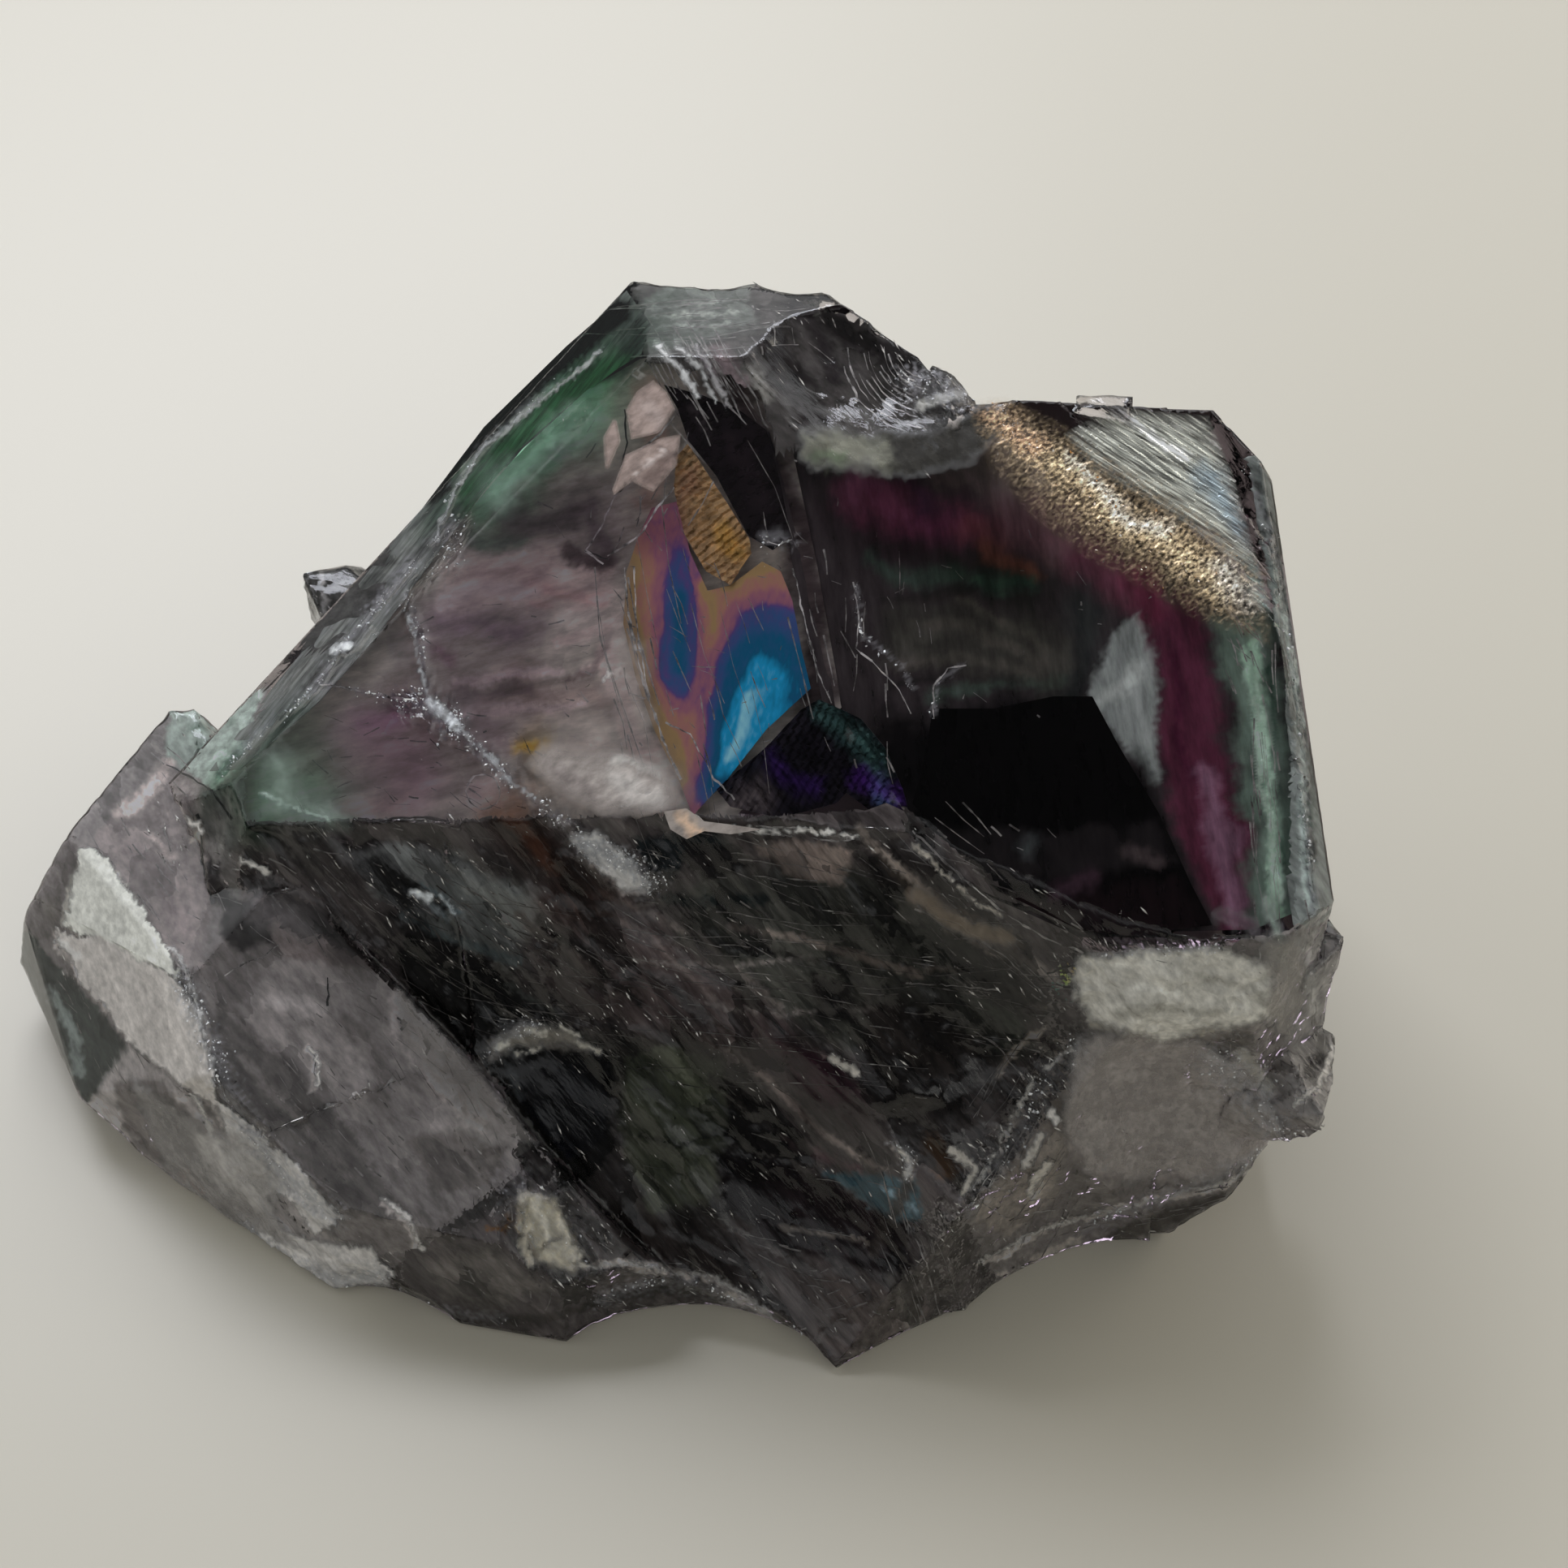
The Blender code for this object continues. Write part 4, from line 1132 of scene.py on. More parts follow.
LEFT_LOBE = (
    (214, 852), (330, 846), (300, 940), (300, 1030), (350, 1090), (440, 1150), (500, 1215), (547, 1271),
    (600, 1320), (650, 1390), (690, 1450), (640, 1480), (560, 1520), (500, 1545), (490, 1640),
    (400, 1640), (300, 1600), (200, 1520), (90, 1430), (30, 1330), (0, 1160), (10, 1090), (70, 1000),
    (130, 920))
LEFT_LOBE_PAINT = (("625f5d", 0.95), (
    (0, 6, "828e86", 0.95, 0.95, ((214, 852), (330, 846), (300, 944), (262, 975), (205, 936))),
    (5, 8, "6c7b71", 0.8, 0.95, ((236, 900), (290, 890))),
    (0, 8, "6e6866", 0.95, 0.95, ((118, 1036), (205, 942), (245, 970), (262, 1100), (250, 1200),
        (209, 1176), (173, 1118))),
    (8, 10, "a89f9a", 0.8, 0.95, ((206, 946), (170, 984), (150, 1004))),
    (10, 12, "67605f", 0.85, 0.95, ((160, 1050), (200, 1080), (226, 1150))),
    (5, 6, "948c88", 0.8, 0.95, ((190, 1030), (216, 1060))),
    # painted light: the pale triangle and panel, and the panel's bright edge, are light shining through
    # the lobe
    (0, 4, "b7b7ae", 0.95, 0.96, LOBE_TRIANGLE),
    (8, 10, "8f9088", 0.8, 0.96, ((120, 1090), (150, 1126))),
    (2, 3, "e4e2dc", 0.95, 1.0, LOBE_PANEL_EDGE),
    (0, 5, "b3aea8", 0.95, 0.96, LOBE_PANEL),
    (10, 14, "8a847e", 0.85, 0.96, ((130, 1190), (170, 1220), (210, 1290))),
    (5, 8, "d6d2cc", 0.8, 1.0, ((75, 1160), (96, 1180))),
    (0, 6, "2c322f", 0.95, 0.98, ((20, 1130), (68, 1180), (94, 1207), (150, 1280), (178, 1317),
        (100, 1390), (60, 1330), (20, 1249))),
    (6, 8, "6f7874", 0.8, 0.97, ((60, 1220), (90, 1270), (100, 1320))),
    (4, 5, "1b201d", 0.8, 0.98, ((52, 1200), (70, 1280), (90, 1330))),
    (0, 10, "9a9794", 0.9, 0.95, ((157, 1290), (240, 1345), (300, 1420), (400, 1500), (440, 1600),
        (290, 1560), (90, 1380))),
    (0, 10, "5a5653", 0.9, 0.95, ((140, 1330), (200, 1330), (260, 1400), (300, 1470), (230, 1450),
        (150, 1390))),
    (6, 8, "b5b2ae", 0.85, 1.0, ((240, 1350), (262, 1400), (280, 1440))),
    (0, 6, "cdc9c3", 0.95, 1.0, LOBE_LEDGE),
    (4, 6, "8a8682", 0.9, 1.0, ((300, 1400), (350, 1450))),
    (5, 8, "c0a498", 0.85, 1.0, ((230, 1450), (246, 1464))),
    (0, 10, "b7b4b0", 0.9, 1.0, LOBE_FOOT),
    (5, 6, "6a6764", 0.85, 1.0, ((330, 1536), (380, 1560), (430, 1556))),
    (0, 14, "5c5654", 0.9, 0.95, ((288, 1029), (420, 1040), (470, 1140), (480, 1200), (380, 1200),
        (300, 1130))),
    (9, 10, "1d1b1b", 0.92, 0.98, ((262, 1064), (268, 1100), (280, 1116))),
    (0, 10, "201f1e", 0.9, 0.98, ((276, 1108), (330, 1110), (340, 1160), (290, 1176), (272, 1150))),
    (7, 9, "2c2a29", 0.85, 0.97, ((320, 1070), (345, 1096))),
    (3, 4, "d8cfc4", 0.85, 1.0, ((240, 1010), (252, 1024), (240, 1038))),
    (4, 5, "cfcac4", 0.85, 1.0, ((300, 1062), (330, 1076))),
    (0, 6, "4c4a48", 0.92, 0.96, ((262, 1236), (300, 1262), (384, 1340), (480, 1456), (500, 1500),
        (430, 1500), (380, 1440), (300, 1370), (268, 1330))),
    (5, 7, "6c6966", 0.8, 0.96, ((300, 1300), (360, 1370), (430, 1450))),
    (0, 10, "73706e", 0.9, 0.94, ((290, 1236), (350, 1180), (470, 1200), (540, 1270), (610, 1345),
        (680, 1440), (560, 1500), (500, 1490), (400, 1350))),
    (10, 12, "8e8b89", 0.8, 0.95, ((330, 1230), (390, 1240))),
    (14, 16, "595654", 0.85, 0.95, ((430, 1260), (480, 1330), (470, 1380))),
    (0, 10, "9a9694", 0.92, 0.96, ((486, 1210), (510, 1232), (556, 1284), (604, 1334), (660, 1410),
        (640, 1420), (580, 1390), (520, 1330), (480, 1260))),
    (10, 12, "a39d98", 0.8, 0.96, ((540, 1340), (590, 1380))),
    (0, 10, "565350", 0.9, 0.95, ((500, 1400), (560, 1390), (620, 1420), (600, 1460), (530, 1470))),
    (4, 5, "a8a4a0", 0.85, 1.0, ((380, 1290), (392, 1310), (386, 1340))),
    (4, 5, "b1ada9", 0.85, 1.0, ((470, 1480), (500, 1500), (520, 1540))),
))

LOWER_RIGHT = (
    (1325, 1165), (1345, 1176), (1420, 1172), (1510, 1168), (1568, 1150), (1612, 1140), (1680, 1130),
    (1700, 1300), (1650, 1420), (1600, 1470), (1480, 1520), (1420, 1560), (1320, 1620), (1180, 1700),
    (1150, 1640), (1130, 1500), (1190, 1440), (1260, 1330), (1290, 1250), (1300, 1180))
LOWER_RIGHT_PAINT = (("5f5c59", 0.94), (
    (0, 6, "c6c4b6", 0.95, 0.98, ((1336, 1180), (1420, 1172), (1508, 1170), (1568, 1192), (1572, 1250),
        (1520, 1262), (1430, 1280), (1345, 1262), (1325, 1225))),
    (4, 6, "dad8d0", 0.9, 1.0, ((1344, 1186), (1400, 1190), (1440, 1184))),
    (8, 10, "7c7a72", 0.85, 0.97, ((1380, 1250), (1440, 1240), (1500, 1246))),
    (5, 7, "c7c5bc", 0.85, 0.97, ((1400, 1214), (1450, 1222))),
    (5, 7, "6f6d66", 0.85, 0.97, ((1470, 1200), (1540, 1214), (1560, 1240))),
    (4, 5, "94aa5c", 0.95, 1.0, ((1308, 1192), (1316, 1204))),
    (6, 8, "2f6a5e", 0.9, 1.0, ((1300, 1212), (1322, 1222))),
    (3, 4, "b09a4a", 0.9, 1.0, ((1318, 1186), (1326, 1196))),
    (0, 8, "787370", 0.94, 0.95, ((1335, 1290), (1400, 1275), (1480, 1285), (1540, 1320), (1585, 1400),
        (1500, 1448), (1400, 1450), (1335, 1445), (1315, 1380))),
    (14, 20, "928d8a", 0.8, 0.95, ((1336, 1400), (1360, 1424))),
    (14, 20, "5d5855", 0.8, 0.95, ((1430, 1390), (1520, 1372), (1560, 1395))),
    (6, 10, "8f8a87", 0.8, 0.95, ((1380, 1300), (1450, 1304))),
    (10, 12, "3c3937", 0.85, 0.95, ((1500, 1290), (1530, 1276))),
    (12, 10, "a7a39b", 0.9, 1.0, ((1530, 1300), (1560, 1340))),
    (4, 5, "383533", 0.9, 1.0, ((1520, 1320), (1550, 1360), (1580, 1380))),
    (0, 8, "76716a", 0.9, 0.95, ((1290, 1270), (1325, 1290), (1318, 1380), (1300, 1470), (1240, 1520),
        (1195, 1500), (1215, 1430), (1260, 1350))),
    (2, 4, "d0ccc4", 0.95, 1.0, LEDGE_LINE),
    (8, 10, "2d2826", 0.92, 0.98, ((1236, 1424), (1262, 1388), (1280, 1370))),
    (6, 7, "c0bab0", 0.9, 1.0, ((1270, 1470), (1290, 1436))),
    (3, 4, "a8a298", 0.85, 1.0, ((1250, 1300), (1290, 1290))),
    (3, 4, "cfcac2", 0.95, 1.0, LOWER_RIM),
    (12, 12, "2c2926", 0.92, 0.97, ((1230, 1596), (1320, 1550), (1400, 1514), (1500, 1476))),
    (4, 5, "8d8982", 0.85, 1.0, ((1230, 1570), (1330, 1524))),
    (0, 10, "6a6967", 0.9, 0.94, ((1590, 1150), (1680, 1130), (1690, 1300), (1620, 1400), (1590, 1340),
        (1576, 1230))),
    (6, 8, "8f908c", 0.85, 0.97, ((1604, 1170), (1616, 1240))),
    (7, 8, "1d1b1b", 0.92, 0.98, ((1628, 1276), (1610, 1324))),
    (3, 4, "cfccc6", 0.9, 1.0, ((1640, 1290), (1622, 1340), (1596, 1360))),
))
RIGHT_MARGIN = (
    (1536, 560), (1580, 560), (1620, 640), (1650, 900), (1680, 1150), (1600, 1170), (1590, 1120),
    (1590, 830), (1568, 730), (1550, 640))
RIGHT_MARGIN_PAINT = (("737a76", 0.92), (
    (4, 8, "a8b8b0", 0.8, 0.95, ((1570, 700), (1590, 800), (1604, 960), (1612, 1120))),
    (3, 5, "343735", 0.85, 0.97, ((1548, 596), (1570, 660), (1592, 780), (1606, 900), (1618, 1060))),
    (5, 8, "55605a", 0.8, 0.95, ((1600, 820), (1612, 920), (1618, 1020))),
))

BACK_NUB = ((370, 670), (480, 670), (470, 740), (400, 800), (370, 800))
BACK_NUB_PAINT = (("5a5a57", 0.92), (
    (3, 5, "c9c8c4", 0.8, 1.0, ((396, 712), (404, 740), (398, 764))),
    (6, 8, "232322", 0.85, 0.97, ((420, 706), (440, 712))),
))

WHOLE_VIEW = ((0, 330), (1932, 330), (1932, 1750), (0, 1750))
# bright patches laid on the surface: pale frost and crushed rims of the stone, with painted highlights and
# painted light shining through the lobe and lower right
SATIN_AND_PAINTED_LIGHT = (("808080", 0.0), (
    (0, 3, "efefe6", 0.95, 0.72, LOBE_TRIANGLE),
    (0, 4, "e8e2dc", 0.95, 0.7, LOBE_PANEL),
    (1, 5, "f6f4f0", 0.95, 0.85, LOBE_PANEL_EDGE),
    (0, 4, "eae6e2", 0.9, 0.75, LOBE_LEDGE),
    (0, 9, "e6e2de", 0.9, 0.82, LOBE_FOOT),
    (0, 12, "bab6b2", 0.9, 0.45, ((160, 1330), (240, 1380), (300, 1460), (380, 1540), (300, 1520),
        (200, 1440))),
    (5, 5, "e6e4e0", 0.9, 0.85, ((75, 1160), (96, 1180))),
    (3, 3, "dcd8d2", 0.9, 0.85, ((240, 1350), (262, 1400), (280, 1440))),
    (3, 3, "e4e0dc", 0.9, 0.9, ((320, 1520), (380, 1552), (440, 1544), (480, 1566))),
    (3, 3, "e0dcd8", 0.9, 0.85, ((470, 1480), (500, 1500), (520, 1540))),
    (2, 3, "d8d4cf", 0.9, 0.85, ((380, 1290), (392, 1310), (386, 1340))),
    (3, 3, "f0ece6", 0.9, 0.95, ((236, 1010), (250, 1022))),
    (3, 3, "e8e4de", 0.9, 0.9, ((296, 1060), (330, 1076))),
    (0, 8, "98928e", 0.85, 0.3, ((486, 1210), (556, 1284), (604, 1334), (660, 1410), (580, 1390),
        (500, 1290))),
    (0, 9, "e8e6e4", 0.9, 0.75, CRUSHED_BLOCK),
    # painted glints: bluish-white streaks at the front
    (4, 7, "eef4f8", 0.95, 0.9, ((506, 1098), (528, 1110))),
    (2, 6, "d0dce2", 0.9, 0.8, ((544, 1108), (562, 1124))),
    (0, 20, "ddd5bf", 0.95, 0.5, YELLOW_PATCH),
    (5, 10, "f8f2e2", 0.9, 0.9, ((655, 1478), (668, 1500), (676, 1524))),
    (3, 8, "ece4d2", 0.9, 0.85, ((690, 1500), (702, 1530), (720, 1560))),
    (4, 9, "ece4d2", 0.9, 0.75, ((648, 1512), (640, 1534), (654, 1556))),
    (3, 8, "5c574d", 0.9, 0.35, ((662, 1540), (690, 1524))),
    (1, 6, "d8d4ce", 0.9, 0.7, FOOT_RIM),
    (0, 14, "a09a8e", 0.9, 0.4, CRESCENT),
    (3, 4, "e0dcd0", 0.9, 0.85, ((610, 1292), (626, 1284))),
    (3, 5, "d8d4c8", 0.9, 0.8, ((650, 1270), (672, 1276))),
    (2, 4, "d8d4c8", 0.9, 0.8, ((694, 1266), (716, 1278))),
    (2, 4, "cfcabe", 0.9, 0.8, ((640, 1298), (662, 1290))),
    (3, 5, "c4c0b4", 0.9, 0.7, ((712, 1284), (738, 1296))),
    # painted glints: silver streaks
    (2, 2, "f0eeec", 0.95, 0.95, ((985, 1022), (1010, 1028), (1034, 1030), (1056, 1030))),
    (2, 2, "e4e2e0", 0.95, 0.9, ((900, 1020), (940, 1022), (990, 1026))),
    (3, 3, "d8d2c8", 0.9, 0.9, ((1018, 1302), (1040, 1312), (1062, 1326))),
    (3, 3, "d8d2c8", 0.9, 0.9, ((1108, 1412), (1126, 1430), (1120, 1450))),
    (4, 4, "d8d2c8", 0.9, 0.85, ((1176, 1420), (1200, 1440), (1190, 1470))),
    (10, 10, "8f8272", 0.85, 0.45, ((1130, 1104), (1180, 1136), (1240, 1160))),
    # painted glint along the lower edge of the right crystal
    (2, 3, "c8c0b4", 0.9, 0.85, ((1124, 1040), (1170, 1084), (1230, 1130))),
    (0, 16, "e6e3da", 0.95, 0.8, ((1328, 1174), (1420, 1172), (1508, 1170), (1568, 1192), (1572, 1250),
        (1520, 1262), (1430, 1280), (1345, 1262), (1325, 1225))),
    (3, 3, "e6e4dc", 0.9, 0.9, ((1344, 1186), (1400, 1190), (1440, 1184))),
    (6, 12, "aca99f", 0.7, 0.75, ((1380, 1250), (1440, 1240), (1500, 1246))),
    (4, 5, "fffdf4", 0.85, 0.9, ((1400, 1214), (1450, 1222))),
    (3, 9, "9a978e", 0.7, 0.8, ((1470, 1200), (1540, 1214), (1560, 1240))),
    (0, 18, "b8b1ac", 0.9, 0.5, ((1330, 1284), (1400, 1275), (1480, 1285), (1540, 1320), (1585, 1400),
        (1500, 1448), (1400, 1450), (1335, 1445), (1315, 1380))),
    (8, 12, "a39e9a", 0.85, 0.5, ((1336, 1400), (1360, 1424))),
    (1, 4, "dcd8d0", 0.95, 0.75, LEDGE_LINE),
    (5, 5, "d4cec4", 0.9, 0.85, ((1270, 1470), (1290, 1436))),
    (5, 4, "f4f0ea", 0.9, 0.9, ((1296, 1366), (1304, 1376))),
    (4, 4, "cfcac2", 0.9, 0.8, ((1284, 1400), (1262, 1440))),
    (1, 5, "dcd8d0", 0.95, 0.7, LOWER_RIM),
    (8, 8, "b5b1a8", 0.9, 0.55, ((1530, 1300), (1560, 1340))),
    (3, 3, "dcd8d2", 0.9, 0.9, ((1640, 1290), (1622, 1340), (1596, 1360))),
    (3, 4, "d8d8d6", 0.9, 0.8, ((812, 424), (836, 452), (860, 490))),
    (2, 3, "c8c8c6", 0.9, 0.75, ((836, 425), (862, 458), (884, 496))),
    (2, 3, "bcb8b8", 0.8, 0.65, ((858, 430), (884, 470), (900, 500))),
    (5, 6, "c8c6c0", 0.9, 0.6, ((1130, 500), (1160, 488), (1200, 482))),
    (1, 6, "d2d2cc", 0.9, 0.55, ((744, 430), (690, 470), (640, 514), (594, 554), (562, 602), (536, 668))),
    (5, 5, "e4e6e4", 0.9, 0.9, ((410, 800), (430, 792))),
    (6, 7, "f4f8fa", 0.95, 0.9, ((530, 868), (552, 884), (566, 896))),
    (1, 6, "e8eef0", 0.95, 0.6, ((500, 740), (514, 790), (520, 832), (528, 866))),
    (1, 6, "e8eef0", 0.95, 0.6, ((570, 900), (600, 930), (630, 960), (656, 986))),
    (2, 3, "c4d8ce", 0.9, 0.85, ((324, 977), (350, 990), (371, 999), (408, 1012))),
    (3, 3, "d8d4d0", 0.9, 0.8, ((744, 836), (760, 826), (772, 832))),
    # painted shade over a facet at the top of the right crystal
    (0, 18, "33312d", 0.95, 0.85, ((1080, 530), (1150, 528), (1224, 500), (1240, 524), (1190, 566),
        (1120, 578), (1080, 578))),
    (0, 26, "8a8a7c", 0.9, 0.6, ((986, 528), (1040, 540), (1096, 546), (1090, 576), (1030, 582),
        (990, 566))),
    (5, 16, "7d8f72", 0.8, 0.55, ((1010, 566), (1040, 570))),
    (16, 46, "b4c8ba", 0.85, 0.24, ((340, 945), (350, 985), (400, 1004))),
    (18, 50, "9cc4aa", 0.85, 0.22, ((610, 606), (650, 566), (715, 508))),
    (0, 20, "d8d4cf", 0.9, 0.45, ((236, 1400), (300, 1396), (350, 1450), (330, 1490), (270, 1470))),
    (16, 30, "9c9698", 0.85, 0.2, ((320, 1120), (370, 1140))),
    (26, 50, "c4b8b2", 0.85, 0.2, ((690, 940), (780, 950), (820, 960))),
    (20, 40, "b8aca6", 0.85, 0.16, ((770, 800), (785, 880))),
    (4, 16, "93a598", 0.9, 0.5, ((1562, 1108), (1574, 1150), (1584, 1190))),
    (8, 26, "a4c4ae", 0.85, 0.18, ((1548, 800), (1562, 960), (1576, 1100))),
    (6, 16, "4a2c3c", 0.9, 0.4, ((1506, 1130), (1545, 1146))),
    (0, 16, "a8a49e", 0.9, 0.5, ((1556, 1160), (1600, 1150), (1612, 1230), (1590, 1290), (1560, 1260))),
    (2, 3, "e0dcd8", 0.9, 0.8, ((770, 990), (800, 980), (820, 990))),
    (2, 6, "9fb4a4", 0.9, 0.4, ((1552, 820), (1560, 920), (1568, 1010), (1580, 1110))),
))


class FLUORITE_OT_cloudy_layers(Operator):
    """Make the cloudy layers and colour zones just inside the crystal's faces, the painted shade of the
    right crystal's black zone, and satin patches of painted light on the surface
    """
    bl_idname = "fluorite.cloudy_layers"
    bl_label = "Cloudy layers"

    def execute(self, context):
        soft_cloud = cloud_and_light_finish("cloudy_fluorite", (3.0, 0.9, 1.4), (0.0, 0.0, 0.06), depth=0.34, patchy=0.1,
                             splinter_mm=(5.0, 2.4, 3.0), splinter_depth=0.12)
        # finish of the right face's colour zones and of the painted shade in its black zone
        zones_and_shade = cloud_and_light_finish("zoned_fluorite_and_shade", (0.8, 5.0, 1.5), (0.0, 0.0, 0.12), depth=0.4, patchy=0.06)
        streaked = cloud_and_light_finish("streaked_fluorite", (0.35, 6.0, 1.0), (0.0, 0.0, -0.72), depth=0.35)
        hackly = cloud_and_light_finish("hackly_fluorite", (4.0, 0.5, 0.7), GRAIN_TURN, depth=0.5, patchy=0.06,
                         splinter_mm=(5.0, 1.6, 2.0), splinter_depth=0.6)
        smudged = cloud_and_light_finish("smudged_fluorite", (1.6, 0.6, 0.8), GRAIN_TURN, depth=0.34, patchy=0.06,
                          splinter_mm=(4.0, 1.8, 2.2), splinter_depth=0.26)
        inner_plane("left_face_clouds", LEFT_FACE, soft_cloud, LEFT_FACE_PAINT, depth=1.7,
                    at=(700, 800), spacing=0.34, seed=1.0, gain=4.0)
        inner_plane("right_face_clouds", RIGHT_FACE, zones_and_shade, RIGHT_FACE_PAINT, depth=1.7,
                    at=(1300, 900), spacing=0.36, seed=2.0, gain=2.2)
        # painted shade of the right crystal's black zone
        inner_plane("painted_shade_plane", SHADE_PLANE, zones_and_shade, SHADE_PLANE_PAINT, depth=1.2,
                    at=(1300, 900), spacing=0.4, seed=3.0, gain=1.0)
        inner_plane("bevel_clouds", BEVEL, streaked, BEVEL_PAINT, depth=0.3,
                    at=(520, 670), spacing=0.45, seed=4.0)
        for index, (name, outline, made_of, painted, gain, spacing) in enumerate((
                ("top_back_clouds", TOP_BACK, smudged, TOP_BACK_PAINT, 1.7, 0.25),
                ("front_clouds", FRONT, hackly, FRONT_PAINT, 2.1, 0.31),
                ("left_lobe_clouds", LEFT_LOBE, smudged, LEFT_LOBE_PAINT, 2.7, 0.31),
                ("lower_right_clouds", LOWER_RIGHT, smudged, LOWER_RIGHT_PAINT, 3.0, 0.25),
                ("right_margin_clouds", RIGHT_MARGIN, smudged, RIGHT_MARGIN_PAINT, 1.6, 0.25),
                ("back_nub_clouds", BACK_NUB, smudged, BACK_NUB_PAINT, 1.0, 0.25))):
            inner_skin(name, outline, made_of, painted, spacing=spacing, seed=5.0 + index, gain=gain)
        # satin patches on the surface: painted highlights and painted light shining through, over pale
        # frost and crushed rims
        satin = cloud_and_light_finish("satin_fracture_and_painted_light", (0.9, 0.5, 0.6), GRAIN_TURN, depth=0.11, patchy=0.26,
                        splinter_mm=(3.4, 1.8, 2.0), splinter_depth=0.1)
        inner_skin("satin_and_painted_light_patches", WHOLE_VIEW, satin, SATIN_AND_PAINTED_LIGHT, depth=-0.05, spacing=0.3,
                   seed=12.0, gain=1.0, trim=True)
        return {"FINISHED"}


RAINBOW = (
    (803, 626), (837, 617), (850, 680), (872, 728), (900, 721), (939, 692), (962, 704), (976, 740),
    (988, 803), (999, 848), (944, 899), (896, 960), (853, 1004), (838, 965), (805, 897), (783, 834),
    (768, 769), (772, 704), (787, 660))
FILM_COLOURS = (
    (0.0, "b09c88"),
    (0.12, "ac9068"),
    (0.24, "b89a6a"),
    (0.33, "bc867c"),
    (0.42, "ac7284"),
    (0.52, "66508e"),
    (0.62, "3f6298"),
    (0.76, "10688e"),
    (0.88, "22b0e4"),
    (1.0, "a6f0ff"),
)
# contour lines of the film: its thickness as a share of the thickest, and the lines' pixels
FILM_CONTOURS = (
    (0.06, (((772, 704), (775, 770), (788, 840), (806, 900), (838, 962)),)),
    (0.2, (((868, 722), (879, 750), (879, 776)), ((812, 900), (838, 928), (847, 962)), ((945, 696),
        (922, 704), (898, 722)))),
    (0.31, (((800, 690), (797, 760), (806, 835), (830, 886), (850, 884), (857, 905), (852, 945)),
        ((864, 738), (870, 770), (878, 794), (886, 765), (896, 738), (920, 720), (962, 716)))),
    (0.42, (((838, 630), (814, 645), (812, 720), (811, 800), (822, 862), (846, 870), (864, 832),
        (863, 780), (856, 720), (846, 660), (838, 630)), ((968, 738), (935, 732), (905, 748), (892, 775),
        (880, 820), (866, 872), (862, 925), (855, 975), (852, 1000)))),
    (0.6, (((838, 684), (818, 760), (820, 836), (842, 852), (858, 800), (856, 735), (846, 686)),
        ((978, 770), (950, 755), (922, 762), (904, 786), (890, 830), (877, 880), (869, 940), (866, 982)))),
    (0.74, (((838, 730), (834, 780), (838, 826)), ((992, 852), (985, 812), (950, 788), (920, 792),
        (902, 830), (888, 880), (882, 940), (877, 972)))),
    (0.88, (((960, 842), (935, 820), (913, 850), (895, 900), (888, 950)), ((945, 880), (905, 942)))),
    (1.0, (((922, 856), (914, 890), (897, 932)),)),
)
GOLD_RIBS = (
    (833, 565), (848, 547), (874, 587), (900, 626), (924, 665), (926, 682), (900, 721), (870, 704),
    (844, 660), (831, 604))
GOLD_RIBS_PAINT = (("a68c68", 1.0), (
    (8, 30, "8a6a58", 0.8, 1.0, ((845, 570), (850, 640))),
    (8, 24, "b29048", 0.8, 1.0, ((900, 650), (915, 690))),
))
DARK_BAND = (
    (818, 474), (835, 504), (848, 543), (883, 587), (922, 660), (952, 678), (974, 660), (961, 595),
    (944, 530), (909, 504), (866, 487))
DARK_BAND_PAINT = (("1d181b", 0.97), (
    (3, 8, "4a4346", 0.7, 1.0, ((850, 500), (880, 540))),
    (6, 24, "2c2428", 0.8, 1.0, ((905, 540), (940, 620))),
))
PEACOCK = (
    (1009, 862), (1061, 886), (1090, 921), (1112, 973), (1120, 1004), (1074, 1000), (1043, 977),
    (1030, 990), (961, 1008), (900, 994), (883, 973), (944, 921), (987, 875))
PEACOCK_PAINT = (("141218", 1.0), (
    (14, 24, "2d4442", 0.9, 1.0, ((1010, 880), (1060, 910), (1080, 940))),
    (8, 18, "3c6a7c", 0.8, 1.0, ((1078, 965), (1090, 985))),
    (12, 24, "3a1a5e", 0.85, 1.0, ((1060, 950), (1100, 985))),
    (12, 24, "2a1648", 0.8, 1.0, ((960, 950), (1000, 965))),
    (12, 30, "4a4446", 0.8, 1.0, ((895, 985), (940, 985))),
))
PINK_PLATES = (
    ((805, 467), (783, 482), (770, 504), (777, 543), (814, 534), (833, 504), (822, 482)),
    ((759, 508), (742, 539), (746, 591), (766, 543)),
    ((770, 560), (814, 539), (840, 534), (835, 574), (805, 608), (779, 595), (748, 617)),
)
PINK_PAINT = (("a8968e", 0.88), (
    (8, 20, "b8a8a2", 0.7, 0.95, ((790, 500), (810, 520))),
    (10, 16, "7c6a64", 0.8, 0.8, ((822, 560), (800, 590))),
    (2, 4, "3e3234", 0.85, 0.95, ((779, 545), (812, 548), (838, 556))),
    (2, 3, "d8ccc6", 0.85, 0.95, ((778, 586), (800, 566), (820, 552))),
))
PALE_PLATE = (
    (666, 912), (770, 921), (822, 947), (846, 990), (822, 1001), (790, 1008), (740, 1008), (683, 977),
    (642, 942))
PALE_PAINT = (("aaa19b", 0.8), (
    (10, 24, "cfc9c3", 0.8, 0.95, ((760, 965), (820, 985))),
    (5, 12, "e0dcd6", 0.8, 0.95, ((760, 935), (815, 950))),
    (3, 6, "d0ccc6", 0.8, 0.95, ((752, 942), (790, 936), (824, 952))),
    (8, 20, "7c7270", 0.7, 0.8, ((680, 940), (720, 975))),
))
